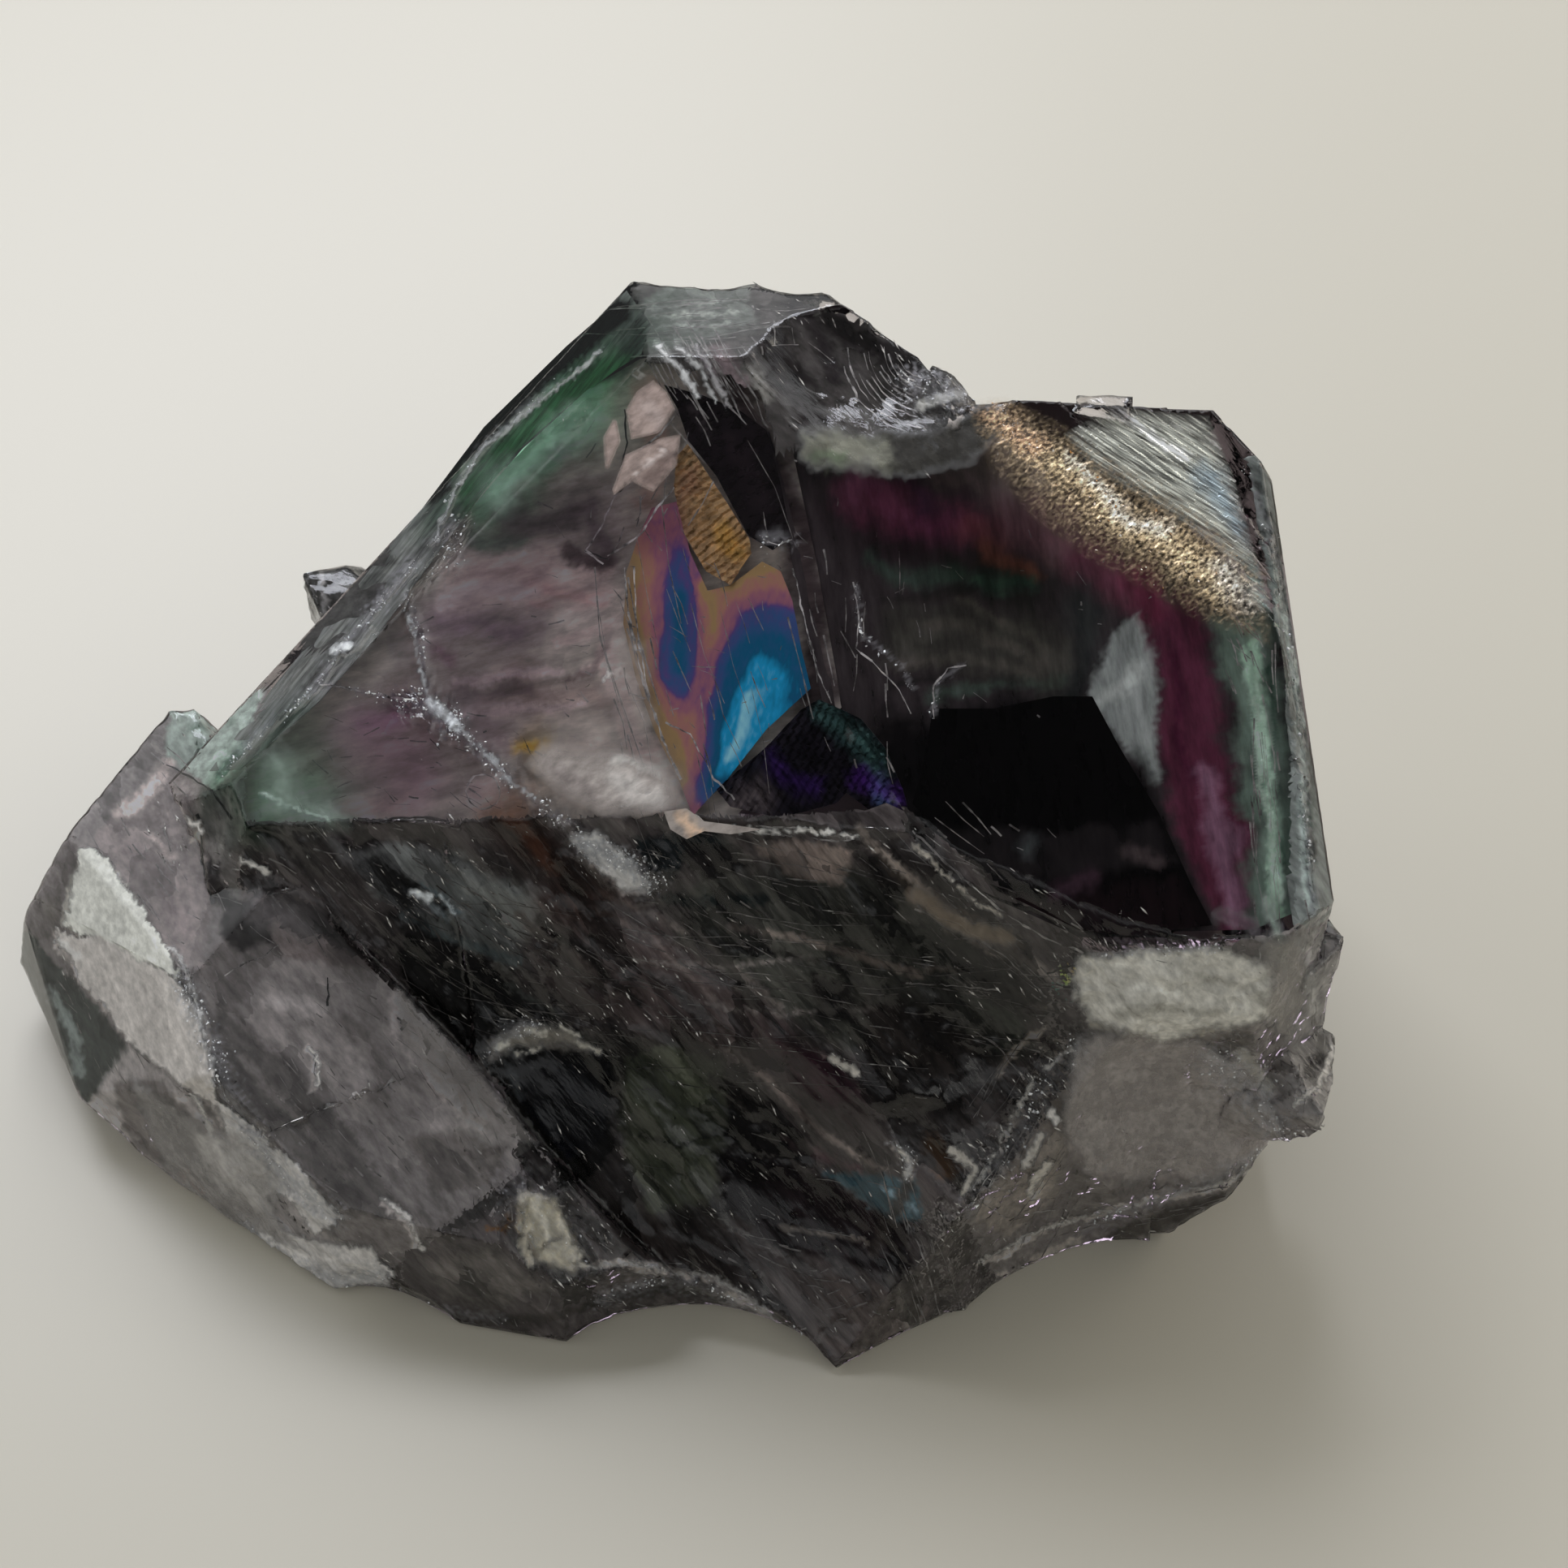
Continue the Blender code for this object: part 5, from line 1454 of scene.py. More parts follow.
SILVER_PLATE = (
    (818, 1000), (846, 996), (868, 1012), (900, 1016), (940, 1022), (900, 1028), (868, 1024), (846, 1034),
    (826, 1022))
SILVER_PAINT = (("9c938c", 0.95), ((5, 8, "e0bfa2", 0.9, 1.0, ((838, 1004), (856, 1028))),))


def rib_wave(pitch, height, way):
    """Saw-toothed steps of a plane, across a direction."""
    def shape(place):
        run = place.dot(way) / pitch + 0.35 * noise.noise(place / 2.0)
        return height * (run % 1.0)
    return shape


def facets_of(size, height):
    """Random small tilts that make a plane glitter."""
    def shape(place):
        return height * noise.noise(place / size)
    return shape


def film_thickness(pixels):
    """Share of the thickest film at pixels, between its contour lines."""
    sway = np.array([noise.noise_vector(Vector((u / 22.0, v / 34.0, 0.0))) for u, v in pixels])
    at = pixels + sway[:, :2] * 7.0
    total, weights = np.zeros(len(pixels)), np.zeros(len(pixels))
    for share, lines in FILM_CONTOURS:
        away = np.min([distance_to(at, np.array(line, float)) for line in lines], axis=0)
        weight = (away + 1.5) ** -2.6
        total += weight * share
        weights += weight
    grain = np.array([noise.noise(Vector((u / 5.0, v / 9.0, 4.0))) for u, v in pixels])
    return total / weights + 0.035 * grain


class FLUORITE_OT_rainbow_crack(Operator):
    """Make the crack that shows interference colours, and the stepped planes beside it"""
    bl_idname = "fluorite.rainbow_crack"
    bl_label = "Rainbow crack"

    def execute(self, context):
        inner_plane("rainbow_crack", RAINBOW, interference_film(), (("000000", 1.0), ()), depth=0.9,
                    at=(850, 800), spacing=0.2, film=film_thickness)
        inner_plane("gold_ribs", GOLD_RIBS, cloud_and_light_finish("gilded_cleavage", (0.5, 0.5, 0.5), depth=0.5,
                    roughness=0.35, metallic=0.6, patchy=0.0), GOLD_RIBS_PAINT, depth=0.7,
                    at=(870, 640), spacing=0.25, shape=rib_wave(0.5, 0.2, Vector((0.5, -0.85, 0.0))),
                    smooth_angle=radians(20.0))
        inner_plane("peacock_facet", PEACOCK, cloud_and_light_finish("peacock_film", (0.3, 1.4, 0.5), (0, 0, 0.6),
                    depth=0.7, roughness=0.3, metallic=0.6, patchy=0.0), PEACOCK_PAINT, depth=0.5,
                    at=(990, 920), spacing=0.3, shape=rib_wave(0.45, 0.14, Vector((0.85, -0.5, 0.0))),
                    smooth_angle=radians(20.0))
        return {"FINISHED"}


class FLUORITE_OT_cleavage_plates(Operator):
    """Make the flat cleavage plates inside the left crystal"""
    bl_idname = "fluorite.cleavage_plates"
    bl_label = "Cleavage plates"

    def execute(self, context):
        flat = cloud_and_light_finish("satin_cleavage", (1.2, 0.6, 0.8), (0.0, 0.0, 0.4), depth=0.16, patchy=0.24)
        for index, outline in enumerate(PINK_PLATES):
            inner_plane(f"pink_plate_{index + 1}", outline, flat, PINK_PAINT,
                        at=(790, 560), depth=-0.06 - 0.03 * index, fade=5, gain=1.0)
        inner_plane("dark_band", DARK_BAND, flat, DARK_BAND_PAINT, at=(880, 600), depth=0.6, gain=1.0)
        inner_plane("pale_plate", PALE_PLATE, flat, PALE_PAINT, at=(750, 970), depth=-0.06, fade=24,
                    gain=1.0)
        inner_plane("silver_plate", SILVER_PLATE, flat, SILVER_PAINT, at=(900, 990), depth=-0.08,
                    gain=1.0)
        return {"FINISHED"}


GLITTER_BAND = (
    (1184, 492), (1240, 486), (1308, 518), (1370, 556), (1434, 590), (1504, 636), (1564, 700),
    (1570, 800), (1480, 770), (1418, 734), (1338, 690), (1274, 644), (1216, 578))
# painted glint: the band's pale gold and white strokes stand for the light behind shining off the growth
# steps
GLITTER_PAINT = (("a89478", 0.26), (
    (8, 60, "e6cfa8", 0.95, 0.9, ((1225, 510), (1290, 565), (1360, 620), (1430, 665), (1510, 725))),
    (6, 26, "fff6e6", 0.9, 1.0, ((1310, 570), (1370, 612), (1440, 656))),
    (10, 30, "e0dcd4", 0.7, 0.6, ((1500, 700), (1550, 750))),
    (10, 40, "d8a888", 0.7, 0.8, ((1215, 505), (1270, 545))),
))
STRIATIONS = (
    (1308, 535), (1368, 500), (1490, 512), (1520, 584), (1570, 758), (1535, 745), (1530, 705),
    (1470, 655), (1400, 612), (1345, 580))
# painted reflection: the silvery and bluish strokes stand for the light behind shining off the striations
STRIATION_PAINT = (("b9bab0", 0.66), (
    (5, 8, "e8e8e4", 0.9, 1.0, ((1370, 505), (1463, 565))),
    (12, 30, "93a5b0", 0.8, 0.9, ((1490, 590), (1530, 660))),
    (12, 30, "a2c0bc", 0.8, 0.9, ((1545, 700), (1566, 750))),
))


class FLUORITE_OT_growth_steps(Operator):
    """Make the glittering growth steps at the back corner of the right crystal"""
    bl_idname = "fluorite.growth_steps"
    bl_label = "Growth steps"

    def execute(self, context):
        glitter = cloud_and_light_finish("golden_glitter", (0.3, 0.2, 0.2), (0.0, 0.0, 0.6), depth=1.0, roughness=0.4,
                          metallic=0.3, patchy=1.0)
        steps = cloud_and_light_finish("silvery_steps", (4.5, 0.15, 0.4), (0.0, 0.0, -0.6), depth=0.8, roughness=0.4,
                        metallic=0.3, patchy=0.7)
        inner_plane("glitter_band", GLITTER_BAND, glitter, GLITTER_PAINT, depth=-0.12, at=(1300, 640),
                    spacing=0.24, fade=56, gain=1.0, shape=facets_of(0.3, 0.08), smooth_angle=0.0)
        inner_plane("striations", STRIATIONS, steps, STRIATION_PAINT, depth=-0.06, at=(1300, 640),
                    spacing=0.17, fade=26, gain=1.0, shape=rib_wave(0.42, 0.06, Vector((0.62, 0.78, 0.0))),
                    smooth_angle=radians(15.0))
        return {"FINISHED"}


# cracks that show as fine lines, with painted glints on streaks and edges among the bright ones:
# width in pixels, pixels
BRIGHT_LINES = (
    # painted glints: the silver streaks in the first four lines
    (4.5, ((985, 1024), (1010, 1028), (1034, 1030), (1056, 1030))),
    (3.0, ((1000, 1033), (1030, 1036), (1052, 1034))),
    (3.0, ((930, 1018), (960, 1020), (1000, 1022))),
    (2.4, ((880, 1018), (930, 1026), (980, 1030))),
    (3.0, ((392, 843), (420, 846), (448, 853), (480, 858), (506, 862))),
    (3.0, ((831, 513), (813, 534), (792, 552), (778, 585), (757, 612), (740, 650), (722, 678),
        (744, 695))),
    (2.4, ((831, 600), (809, 625), (787, 660), (748, 686))),
    (2.4, ((768, 700), (775, 760), (790, 830), (812, 900), (838, 960))),
    (1.6, ((780, 700), (785, 780), (800, 860))),
    (1.8, ((977, 700), (990, 760), (1008, 830), (1024, 866))),
    (1.8, ((940, 664), (958, 670), (975, 664))),
    (1.8, ((1052, 716), (1058, 760), (1055, 798), (1075, 815), (1108, 850), (1122, 880))),
    (2.0, ((1150, 885), (1150, 845), (1168, 823), (1190, 820))),
    (2.2, ((277, 1202), (300, 1186), (322, 1180), (343, 1165))),
    (1.8, ((382, 1291), (390, 1305), (386, 1322), (397, 1343))),
    (2.0, ((1115, 1500), (1130, 1530), (1145, 1570), (1155, 1610), (1163, 1632))),
    (1.6, ((1128, 1120), (1180, 1140), (1240, 1180), (1290, 1230))),
    (1.6, ((1110, 1212), (1160, 1214), (1230, 1220))),
    # painted glint along the lower edge of the right crystal
    (2.6, ((1124, 1024), (1170, 1068), (1230, 1120), (1290, 1158), (1336, 1174))),
    (1.6, ((1260, 1290), (1285, 1300), (1316, 1318))),
    (2.2, ((1200, 1270), (1230, 1290), (1262, 1330))),
    (1.6, ((1190, 1470), (1240, 1500), (1300, 1490))),
    # painted glint: a bluish-white streak at the front
    (2.0, ((505, 1110), (520, 1120), (540, 1132))),
    (1.6, ((820, 890), (850, 905), (880, 960), (905, 985))),
)
DARK_LINES = (
    (4.5, ((243, 1003), (248, 1035), (251, 1066), (262, 1113))),
    (3.0, ((205, 942), (232, 955), (262, 975), (285, 1010))),
    (3.5, ((1505, 1167), (1515, 1190), (1513, 1213), (1506, 1240))),
    (5.0, ((488, 1254), (500, 1262), (494, 1270))),
    (5.0, ((520, 1272), (530, 1290), (524, 1300))),
    (4.0, ((592, 1352), (606, 1366), (622, 1384))),
    (3.0, ((403, 1205), (404, 1240))),
    (3.0, ((748, 690), (735, 684), (722, 678))),
    (2.6, ((1290, 1200), (1330, 1185), (1340, 1178))),
    (2.6, ((770, 505), (772, 545), (760, 600))),
    (3.5, ((1240, 516), (1180, 530), (1120, 548))),
)
# fields of fine scratches: middle, spread across and down, direction and its spread in degrees,
# length, number, width
SCRATCHES = (
    ((1072, 800), (34, 90), 80, 20, 40, 14, 1.0),
    ((1250, 720), (160, 90), 40, 80, 16, 34, 0.9),
    ((880, 800), (46, 110), 72, 10, 110, 26, 0.8),
    ((880, 860), (56, 90), 40, 60, 22, 26, 0.7),
    ((1000, 800), (12, 60), 78, 6, 90, 8, 1.2),
    ((776, 830), (16, 90), 74, 6, 130, 16, 1.2),
    ((640, 820), (130, 110), 20, 60, 18, 60, 0.9),
    ((480, 950), (90, 50), 10, 40, 24, 30, 0.9),
    ((640, 980), (60, 30), 30, 40, 30, 14, 1.2),
    ((800, 600), (40, 60), 110, 20, 44, 14, 1.2),
    ((740, 1180), (160, 60), 30, 8, 110, 60, 0.9),
    ((900, 1230), (180, 60), 6, 6, 130, 60, 0.8),
    ((1000, 1090), (110, 30), 12, 10, 60, 30, 0.9),
    ((900, 1260), (220, 130), 24, 24, 30, 90, 0.8),
    ((1160, 1080), (50, 40), 42, 10, 60, 30, 1.0),
    ((1260, 1180), (60, 40), 40, 10, 60, 30, 1.0),
    ((1190, 1230), (80, 40), 6, 8, 70, 24, 0.9),
    ((1120, 1460), (20, 50), 74, 8, 90, 10, 1.1),
    ((1140, 1580), (20, 50), 72, 10, 80, 14, 1.2),
    ((1270, 1410), (30, 60), 118, 10, 80, 30, 1.0),
    ((1420, 1500), (120, 20), -16, 10, 70, 36, 1.0),
    ((1440, 1220), (80, 30), 4, 30, 22, 26, 1.1),
    ((1430, 1370), (90, 50), -20, 40, 20, 30, 0.8),
    ((1560, 1340), (26, 40), 60, 40, 24, 26, 1.4),
    ((1620, 1250), (14, 60), 96, 14, 50, 14, 1.2),
    ((400, 1290), (90, 90), 50, 20, 30, 60, 0.9),
    ((560, 1340), (40, 50), 58, 14, 34, 26, 1.0),
    ((190, 1060), (40, 70), 62, 20, 30, 34, 1.0),
    ((170, 1230), (50, 60), 58, 14, 34, 36, 1.0),
    ((350, 1450), (80, 60), 46, 14, 34, 60, 1.2),
    ((420, 1070), (110, 50), 40, 30, 30, 50, 1.1),
    ((640, 1540), (70, 50), 50, 60, 16, 40, 1.0),
    ((860, 1560), (90, 40), 20, 20, 40, 40, 1.0),
    ((1040, 1620), (60, 30), 10, 40, 20, 26, 1.0),
    ((862, 470), (30, 34), 58, 6, 90, 34, 1.4),
    ((960, 470), (50, 50), 60, 30, 34, 20, 1.1),
    ((860, 390), (60, 24), -3, 3, 110, 26, 1.0),
    ((1540, 780), (14, 40), 60, 20, 34, 20, 1.1),
    ((1565, 980), (12, 110), 84, 5, 90, 30, 1.1),
)
SCRATCH_SEED = 11
# growth lines at the back corner: first line's start, step from line to line, run, number
GROWTH_START = (1316, 514)
GROWTH_STEP = (11.5, 0.6)
GROWTH_RUN = (170.0, 136.0)
GROWTH_LINES = 18
RIB_CENTRE = (1148, 424)
RIB_REACHES = (44, 49, 55, 60, 67, 72, 79, 84, 91, 97, 104, 112)
RIB_TURN = (radians(106.0), radians(178.0))
BUBBLE = ((595, 975), 21)

# hairlines: depth under the surface and longest gap in millimetres, step in pixels
LINE_DEPTH = 0.06
LINE_STEP = 7.0
LONGEST_GAP = 3.0


def arc(middle, reach, turns, count):
    """Pixels along an arc."""
    return [(middle[0] + reach * np.cos(turn), middle[1] + reach * np.sin(turn))
            for turn in np.linspace(*turns, count)]


def scratch_lines():
    """Fine straight scratches scattered over their fields: width and end pixels."""
    chance = np.random.RandomState(SCRATCH_SEED)
    found = []
    for middle, spread, turn, turn_spread, length, count, width in SCRATCHES:
        for _ in range(count):
            at = np.array(middle) + np.clip(chance.normal(size=2), -1.8, 1.8) * spread
            way = radians(turn + turn_spread * (2.0 * chance.rand() - 1.0))
            half = 0.5 * length * (0.25 + 1.2 * chance.rand() ** 2)
            run = np.array((np.cos(way), np.sin(way))) * half
            bow = np.array((-run[1], run[0])) * 0.12 * (2.0 * chance.rand() - 1.0)
            found.append((width * (0.5 + chance.rand()), (at - run, at + bow, at + run)))
    return found


def growth_lines():
    """Straight parallel growth lines, cut off where the stepped face ends."""
    found = []
    for index in range(GROWTH_LINES):
        start = np.array(GROWTH_START) + index * np.array(GROWTH_STEP)
        line = [start + share * np.array(GROWTH_RUN) for share in np.linspace(0.0, 1.0, 14)]
        line = [at for at, kept in zip(line, inside(np.array(line), STRIATIONS)) if kept]
        if len(line) > 2:
            found.append((2.0 + 1.6 * (index % 3), line))
    return found


def line_ribbon(bm, pixels, width, shake):
    """Thin strip just under the surface along a line of pixels, shaken by some pixels."""
    line = np.array(pixels, float)
    steps = [line[0]]
    for start, end in zip(line[:-1], line[1:]):
        count = max(1, int(np.linalg.norm(end - start) / LINE_STEP))
        steps += [start + (end - start) * (i + 1) / count for i in range(count)]
    rows = []
    for index, at in enumerate(steps):
        jitter = noise.noise_vector(Vector((at[0] / 6.0, at[1] / 6.0, 3.0))) * shake
        place, facing = spot(at[0] + jitter.x, at[1] + jitter.y)
        rows.append((place - facing * LINE_DEPTH, facing))
    for index, ((one, facing), (two, _)) in enumerate(zip(rows[:-1], rows[1:])):
        if (two - one).length > LONGEST_GAP:
            continue
        taper = 0.45 + 0.9 * abs(noise.noise(Vector((index / 2.3, width, 0.0)))) * 2.0
        side = (two - one).cross(facing).normalized() * width * MM_PER_PIXEL * 0.5 * taper
        low = -facing * LAYER_THICKNESS
        corners = [bm.verts.new(p) for p in (one - side, one + side, two + side, two - side,
                                             one - side + low, one + side + low, two + side + low,
                                             two - side + low)]
        for a, b, c, d in ((0, 1, 2, 3), (7, 6, 5, 4), (0, 4, 5, 1), (1, 5, 6, 2), (2, 6, 7, 3),
                           (3, 7, 4, 0)):
            bm.faces.new((corners[a], corners[b], corners[c], corners[d]))


class FLUORITE_OT_hairlines(Operator):
    """Make the cracks that show as fine bright and dark lines, with painted glints among the bright
    ones, the growth lines, and the curved ribs
    """
    bl_idname = "fluorite.hairlines"
    bl_label = "Hairline cracks"

    def execute(self, context):
        ribs = [(0.8 + 0.7 * (index % 3), arc(
                    RIB_CENTRE, reach, (RIB_TURN[0] + 0.2 * sin(2.3 * index),
                                        RIB_TURN[1] - 0.25 - 0.25 * sin(1.7 * index)), 9))
                for index, reach in enumerate(RIB_REACHES)]
        bubble = (2.2, arc(*BUBBLE, (0.0, radians(360.0)), 19))
        for name, lines, colour, shake in (
                # bright cracks, with painted glints among them
                ("bright_cracks_and_glints", (*BRIGHT_LINES, *ribs, bubble), "e6e4e0", 2.2),
                # growth lines, near white as painted reflection of the light behind
                ("growth_lines", growth_lines(), "f6f6f0", 0.6),
                ("fine_scratches", scratch_lines(), "a5a29e", 0.2),
                ("dark_cracks", DARK_LINES, "0e0d0d", 2.2)):
            bm = bmesh.new()
            for width, pixels in lines:
                line_ribbon(bm, pixels, width, shake)
            bmesh.ops.recalc_face_normals(bm, faces=bm.faces[:])
            new_piece(name, bm, crack_face(name, colour))
        return {"FINISHED"}


def scatter_tree(name, made_of):
    """Node tree that scatters flattened octahedra, fluorite's own cleavage shape, over faces.
    They lie along the fracture grain, and a tilt of pi leaves them lying any way."""
    tree = bpy.data.node_groups.new(name, "GeometryNodeTree")
    tree.is_modifier = True
    face = tree.interface
    face.new_socket("Geometry", in_out="INPUT", socket_type="NodeSocketGeometry")
    sockets = {}
    for label, kind, default in (("Chips per square mm", "NodeSocketFloat", 10.0),
                                 ("Chip size", "NodeSocketVector", (0.2, 0.1, 0.05)),
                                 ("Tilt", "NodeSocketFloat", 0.2), ("Seed", "NodeSocketInt", 1)):
        socket = face.new_socket(label, in_out="INPUT", socket_type=kind)
        socket.default_value = default
        sockets[label] = socket.identifier
    face.new_socket("Geometry", in_out="OUTPUT", socket_type="NodeSocketGeometry")
    given = add(tree, "NodeGroupInput").outputs
    where = add(tree, "GeometryNodeInputNamedAttribute", {"Name": name}, data_type="FLOAT")
    per_metre = add(tree, "ShaderNodeMath", {0: given["Chips per square mm"], 1: MM ** -2},
                    operation="MULTIPLY")
    density = add(tree, "ShaderNodeMath", {0: per_metre, 1: where.outputs["Attribute"]},
                  operation="MULTIPLY")
    points = add(tree, "GeometryNodeDistributePointsOnFaces", {
        "Mesh": given["Geometry"], "Seed": given["Seed"], "Density": density})
    chip = add(tree, "GeometryNodeMeshUVSphere", {"Segments": 4, "Rings": 2, "Radius": 0.5 * MM})
    flat = add(tree, "FunctionNodeAlignRotationToVector", {"Vector": points.outputs["Normal"]}, axis="Z")
    along = add(tree, "FunctionNodeAlignRotationToVector", {
        "Rotation": flat, "Vector": GRAIN_ALONG}, axis="X", pivot_axis="Z")
    spread = add(tree, "ShaderNodeVectorMath", {0: (1.0, 1.0, 1.0), "Scale": given["Tilt"]},
                 operation="SCALE")
    less = add(tree, "ShaderNodeVectorMath", {0: spread, "Scale": -1.0}, operation="SCALE")
    jitter = add(tree, "FunctionNodeRandomValue", {0: less, 1: spread, "Seed": given["Seed"]},
                 data_type="FLOAT_VECTOR")
    turned = add(tree, "FunctionNodeRotateRotation", {"Rotation": along, "Rotate By": jitter},
                 rotation_space="LOCAL")
    share = add(tree, "FunctionNodeRandomValue", {"Min": 0.0, "Max": 1.0, "Seed": 3}, data_type="FLOAT")
    small = add(tree, "ShaderNodeMath", {0: share.outputs[1], 1: 3.0}, operation="POWER")
    sizes = add(tree, "ShaderNodeMath", {0: small, 1: 0.8, 2: 0.2}, operation="MULTIPLY_ADD")
    scale = add(tree, "ShaderNodeVectorMath", {0: given["Chip size"], "Scale": sizes}, operation="SCALE")
    placed = add(tree, "GeometryNodeInstanceOnPoints", {
        "Points": points.outputs["Points"], "Instance": chip.outputs["Mesh"],
        "Rotation": turned, "Scale": scale})
    real = add(tree, "GeometryNodeRealizeInstances", {"Geometry": placed})
    done = add(tree, "GeometryNodeSetMaterial", {"Geometry": real, "Material": made_of})
    add(tree, "NodeGroupOutput", {"Geometry": done})
    return tree, sockets


def scatter(name, source, made_of, density, size, tilt, seed):
    """Piece of chips scattered over a source piece, as many as its attribute of this name asks."""
    tree, sockets = scatter_tree(name, made_of)
    holder = bpy.data.objects.new(name, source.data.copy())
    bpy.context.scene.collection.objects.link(holder)
    step = holder.modifiers.new(name, "NODES")
    step.node_group = tree
    for label, value in (("Chips per square mm", density), ("Chip size", size), ("Tilt", tilt),
                         ("Seed", seed)):
        step[sockets[label]] = value
    bpy.context.view_layer.update()
    mesh = bpy.data.meshes.new_from_object(holder.evaluated_get(bpy.context.evaluated_depsgraph_get()))
    holder.modifiers.remove(step)
    bpy.data.objects.remove(holder)
    mesh.name = name
    return dress(name, mesh, made_of)


class FLUORITE_OT_crushed_grains(Operator):
    """Scatter crushed grains along the bruised edges and bright flecks over the broken surfaces"""
    bl_idname = "fluorite.crushed_grains"
    bl_label = "Crushed grains"

    def execute(self, context):
        settings = context.scene.fluorite
        crystal = bpy.data.objects["crystal"]
        size = settings.grain_size
        scatter("crumbs", crystal, crushed_fluorite("crushed_fluorite", "ffffff", "b4b6ba"),
                settings.grain_density, (size, size * 0.8, size * 0.45), 3.14, settings.grain_seed)
        length = settings.fleck_length
        scatter("flecks", crystal, crushed_fluorite("fleck_fluorite", "d5d2cc", "5d5855"),
                settings.fleck_density, (length, length * 0.16, length * 0.05), 0.35,
                settings.grain_seed)
        band = bpy.data.objects["glitter_band"]
        scatter("glitter", band, crushed_fluorite("golden_sparkle", "fffaf0", "c08a4c"),
                settings.grain_density * 0.45, (0.4, 0.2, 0.06), 0.8, settings.grain_seed)
        return {"FINISHED"}


# plain stage: metres, lights as name, place, size, watts and colour
FLOOR_HALF = 1.5
FLOOR_DROP = -0.0003
FLOOR_COLOUR = "bdb8aa"
SOFT_LIGHTS = (
    ("window_light", (-0.2, 0.64, 0.72), (0.6, 0.45), 7.0, "f2f5ff"),
    ("side_light", (0.7, 0.35, 0.35), (0.5, 0.4), 1.5, "fff4e2"),
    ("front_fill", (0.45, -0.6, 0.8), (0.9, 0.9), 1.5, "f8f8ee"),
)
# brightness of the surroundings by height: dark overhead, where the flat faces look
WORLD_BAND = ((0.0, 0.08), (0.24, 0.15), (0.42, 1.0), (0.66, 1.0), (0.84, 0.03))
WORLD_COLOUR = "f1f3f4"
BRIGHT_WAY = (-0.35, 0.8, 0.45)
WORLD_FRONT = 0.65
WORLD_BEHIND = 1.85


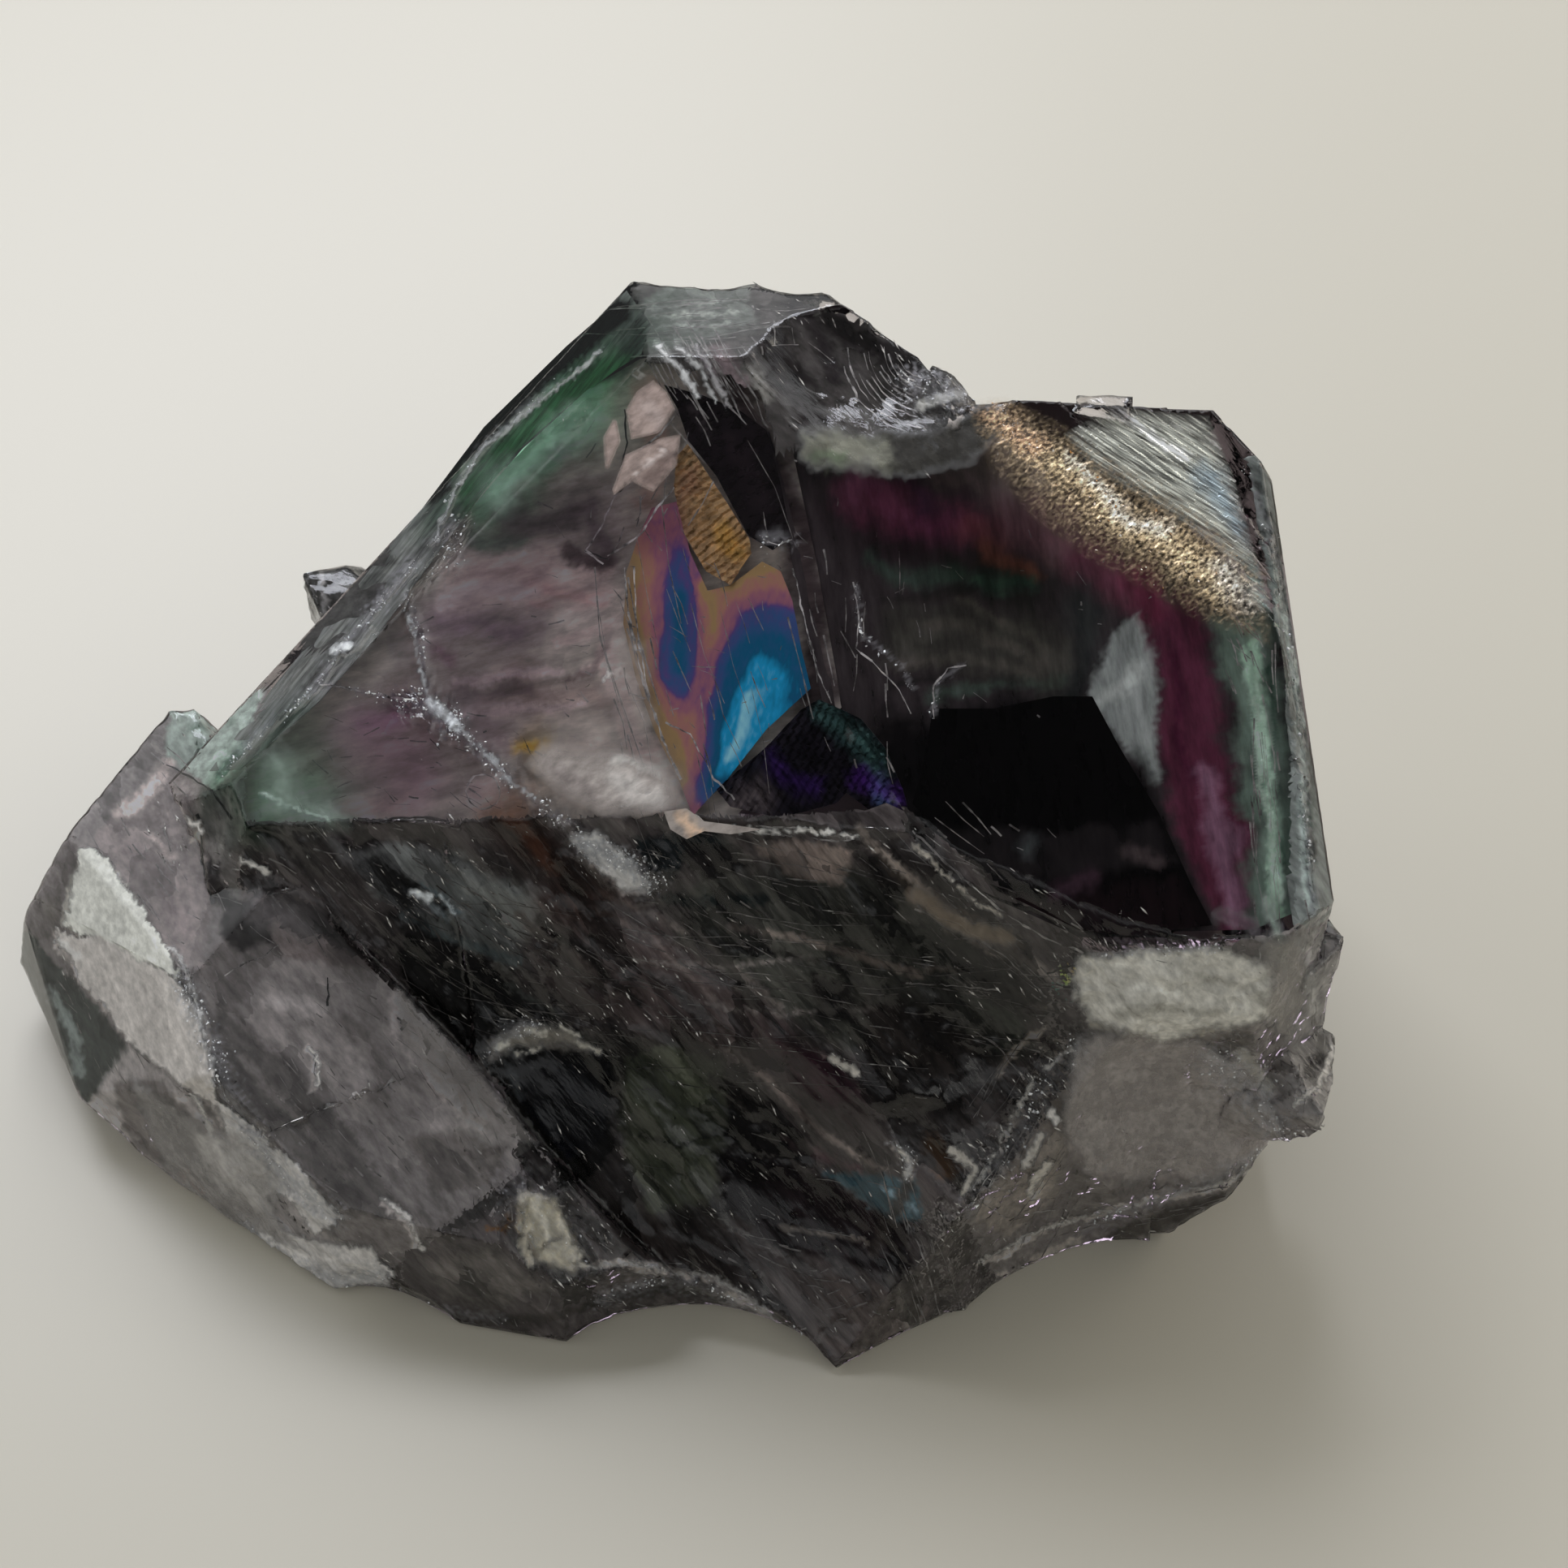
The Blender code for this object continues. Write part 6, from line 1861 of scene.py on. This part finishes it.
class FLUORITE_OT_stage(Operator):
    """Set the floor, lights, surroundings and camera"""
    bl_idname = "fluorite.stage"
    bl_label = "Stage"

    def execute(self, context):
        scene = context.scene
        mesh = bpy.data.meshes.new("floor")
        corners = ((-1, -1), (1, -1), (1, 1), (-1, 1))
        mesh.from_pydata([(x * FLOOR_HALF, y * FLOOR_HALF, FLOOR_DROP) for x, y in corners], [],
                         [(0, 1, 2, 3)])
        floor = bpy.data.objects.new("floor", mesh)
        scene.collection.objects.link(floor)
        made, tree = blank("pale_laminate")
        shader = add(tree, "ShaderNodeBsdfPrincipled", {
            "Base Color": linear(FLOOR_COLOUR), "Roughness": 0.4})
        finish_material(tree, shader)
        mesh.materials.append(made)

        camera = bpy.data.cameras.new("camera")
        camera.sensor_width = SENSOR_WIDTH
        camera.lens = SENSOR_WIDTH / 2.0 / tan(CAMERA_FIELD / 2.0)
        camera.clip_start = 0.01
        holder = bpy.data.objects.new("camera", camera)
        holder.location = CAMERA_PLACE * MM
        holder.rotation_euler = (CAMERA_AIM - CAMERA_PLACE).to_track_quat("-Z", "Y").to_euler()
        scene.collection.objects.link(holder)
        scene.camera = holder
        scene.view_settings.view_transform = "Standard"

        for name, place, size, energy, colour in SOFT_LIGHTS:
            lamp = bpy.data.lights.new(name, "AREA")
            lamp.shape = "RECTANGLE"
            lamp.size, lamp.size_y = size
            lamp.energy = energy
            lamp.color = linear(colour)[:3]
            holder = bpy.data.objects.new(name, lamp)
            holder.location = place
            holder.rotation_euler = (-Vector(place)).to_track_quat("-Z", "Y").to_euler()
            holder.visible_camera = False
            scene.collection.objects.link(holder)

        world = bpy.data.worlds.new("studio")
        scene.world = world
        world.use_nodes = True
        tree = world.node_tree
        tree.nodes.clear()
        way = add(tree, "ShaderNodeTexCoord").outputs["Generated"]
        height = add(tree, "ShaderNodeSeparateXYZ", {"Vector": way}).outputs["Z"]
        behind = add(tree, "ShaderNodeVectorMath", {0: way, 1: BRIGHT_WAY},
                     operation="DOT_PRODUCT")
        band = add(tree, "ShaderNodeValToRGB", {"Fac": height}, WORLD_BAND)
        soft_box = add(tree, "ShaderNodeMapRange", {
            "Value": behind.outputs["Value"], "From Min": 0.0, "From Max": 0.9, "To Min": WORLD_FRONT,
            "To Max": WORLD_BEHIND}, interpolation_type="SMOOTHSTEP")
        strength = add(tree, "ShaderNodeMath", {0: band, 1: soft_box}, operation="MULTIPLY")
        sky = add(tree, "ShaderNodeBackground", {"Color": linear(WORLD_COLOUR), "Strength": strength})
        add(tree, "ShaderNodeOutputWorld", {"Surface": sky})
        return {"FINISHED"}


class FLUORITE_PT_panel(Panel):
    """Lists the pieces in the order in which they are made"""
    bl_label = "Fluorite specimen"
    bl_idname = "FLUORITE_PT_panel"
    bl_space_type = "VIEW_3D"
    bl_region_type = "UI"
    bl_category = "Fluorite"

    def draw(self, context):
        settings = context.scene.fluorite
        for name in settings.bl_rna.properties.keys():
            if name not in {"rna_type", "name"}:
                self.layout.prop(settings, name)
        for operator in OPERATORS:
            self.layout.operator(operator.bl_idname)


OPERATORS = (FLUORITE_OT_crystal, FLUORITE_OT_cloudy_layers, FLUORITE_OT_rainbow_crack,
             FLUORITE_OT_cleavage_plates, FLUORITE_OT_growth_steps, FLUORITE_OT_hairlines,
             FLUORITE_OT_crushed_grains, FLUORITE_OT_stage)
CLASSES = (FluoriteCrystalSettings, *OPERATORS, FLUORITE_PT_panel)


def register():
    """Add the settings, the operators and the panel, and fix the noise for every run."""
    noise.seed_set(NOISE_SEED)
    for entry in CLASSES:
        bpy.utils.register_class(entry)
    bpy.types.Scene.fluorite = PointerProperty(type=FluoriteCrystalSettings)


def unregister():
    """Take them away again."""
    del bpy.types.Scene.fluorite
    for entry in reversed(CLASSES):
        bpy.utils.unregister_class(entry)


def main():
    register()
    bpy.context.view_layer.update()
    bpy.ops.fluorite.crystal()
    bpy.ops.fluorite.cloudy_layers()
    bpy.ops.fluorite.rainbow_crack()
    bpy.ops.fluorite.cleavage_plates()
    bpy.ops.fluorite.growth_steps()
    bpy.ops.fluorite.hairlines()
    bpy.ops.fluorite.crushed_grains()
    bpy.ops.fluorite.stage()


if __name__ == "__main__":
    main()
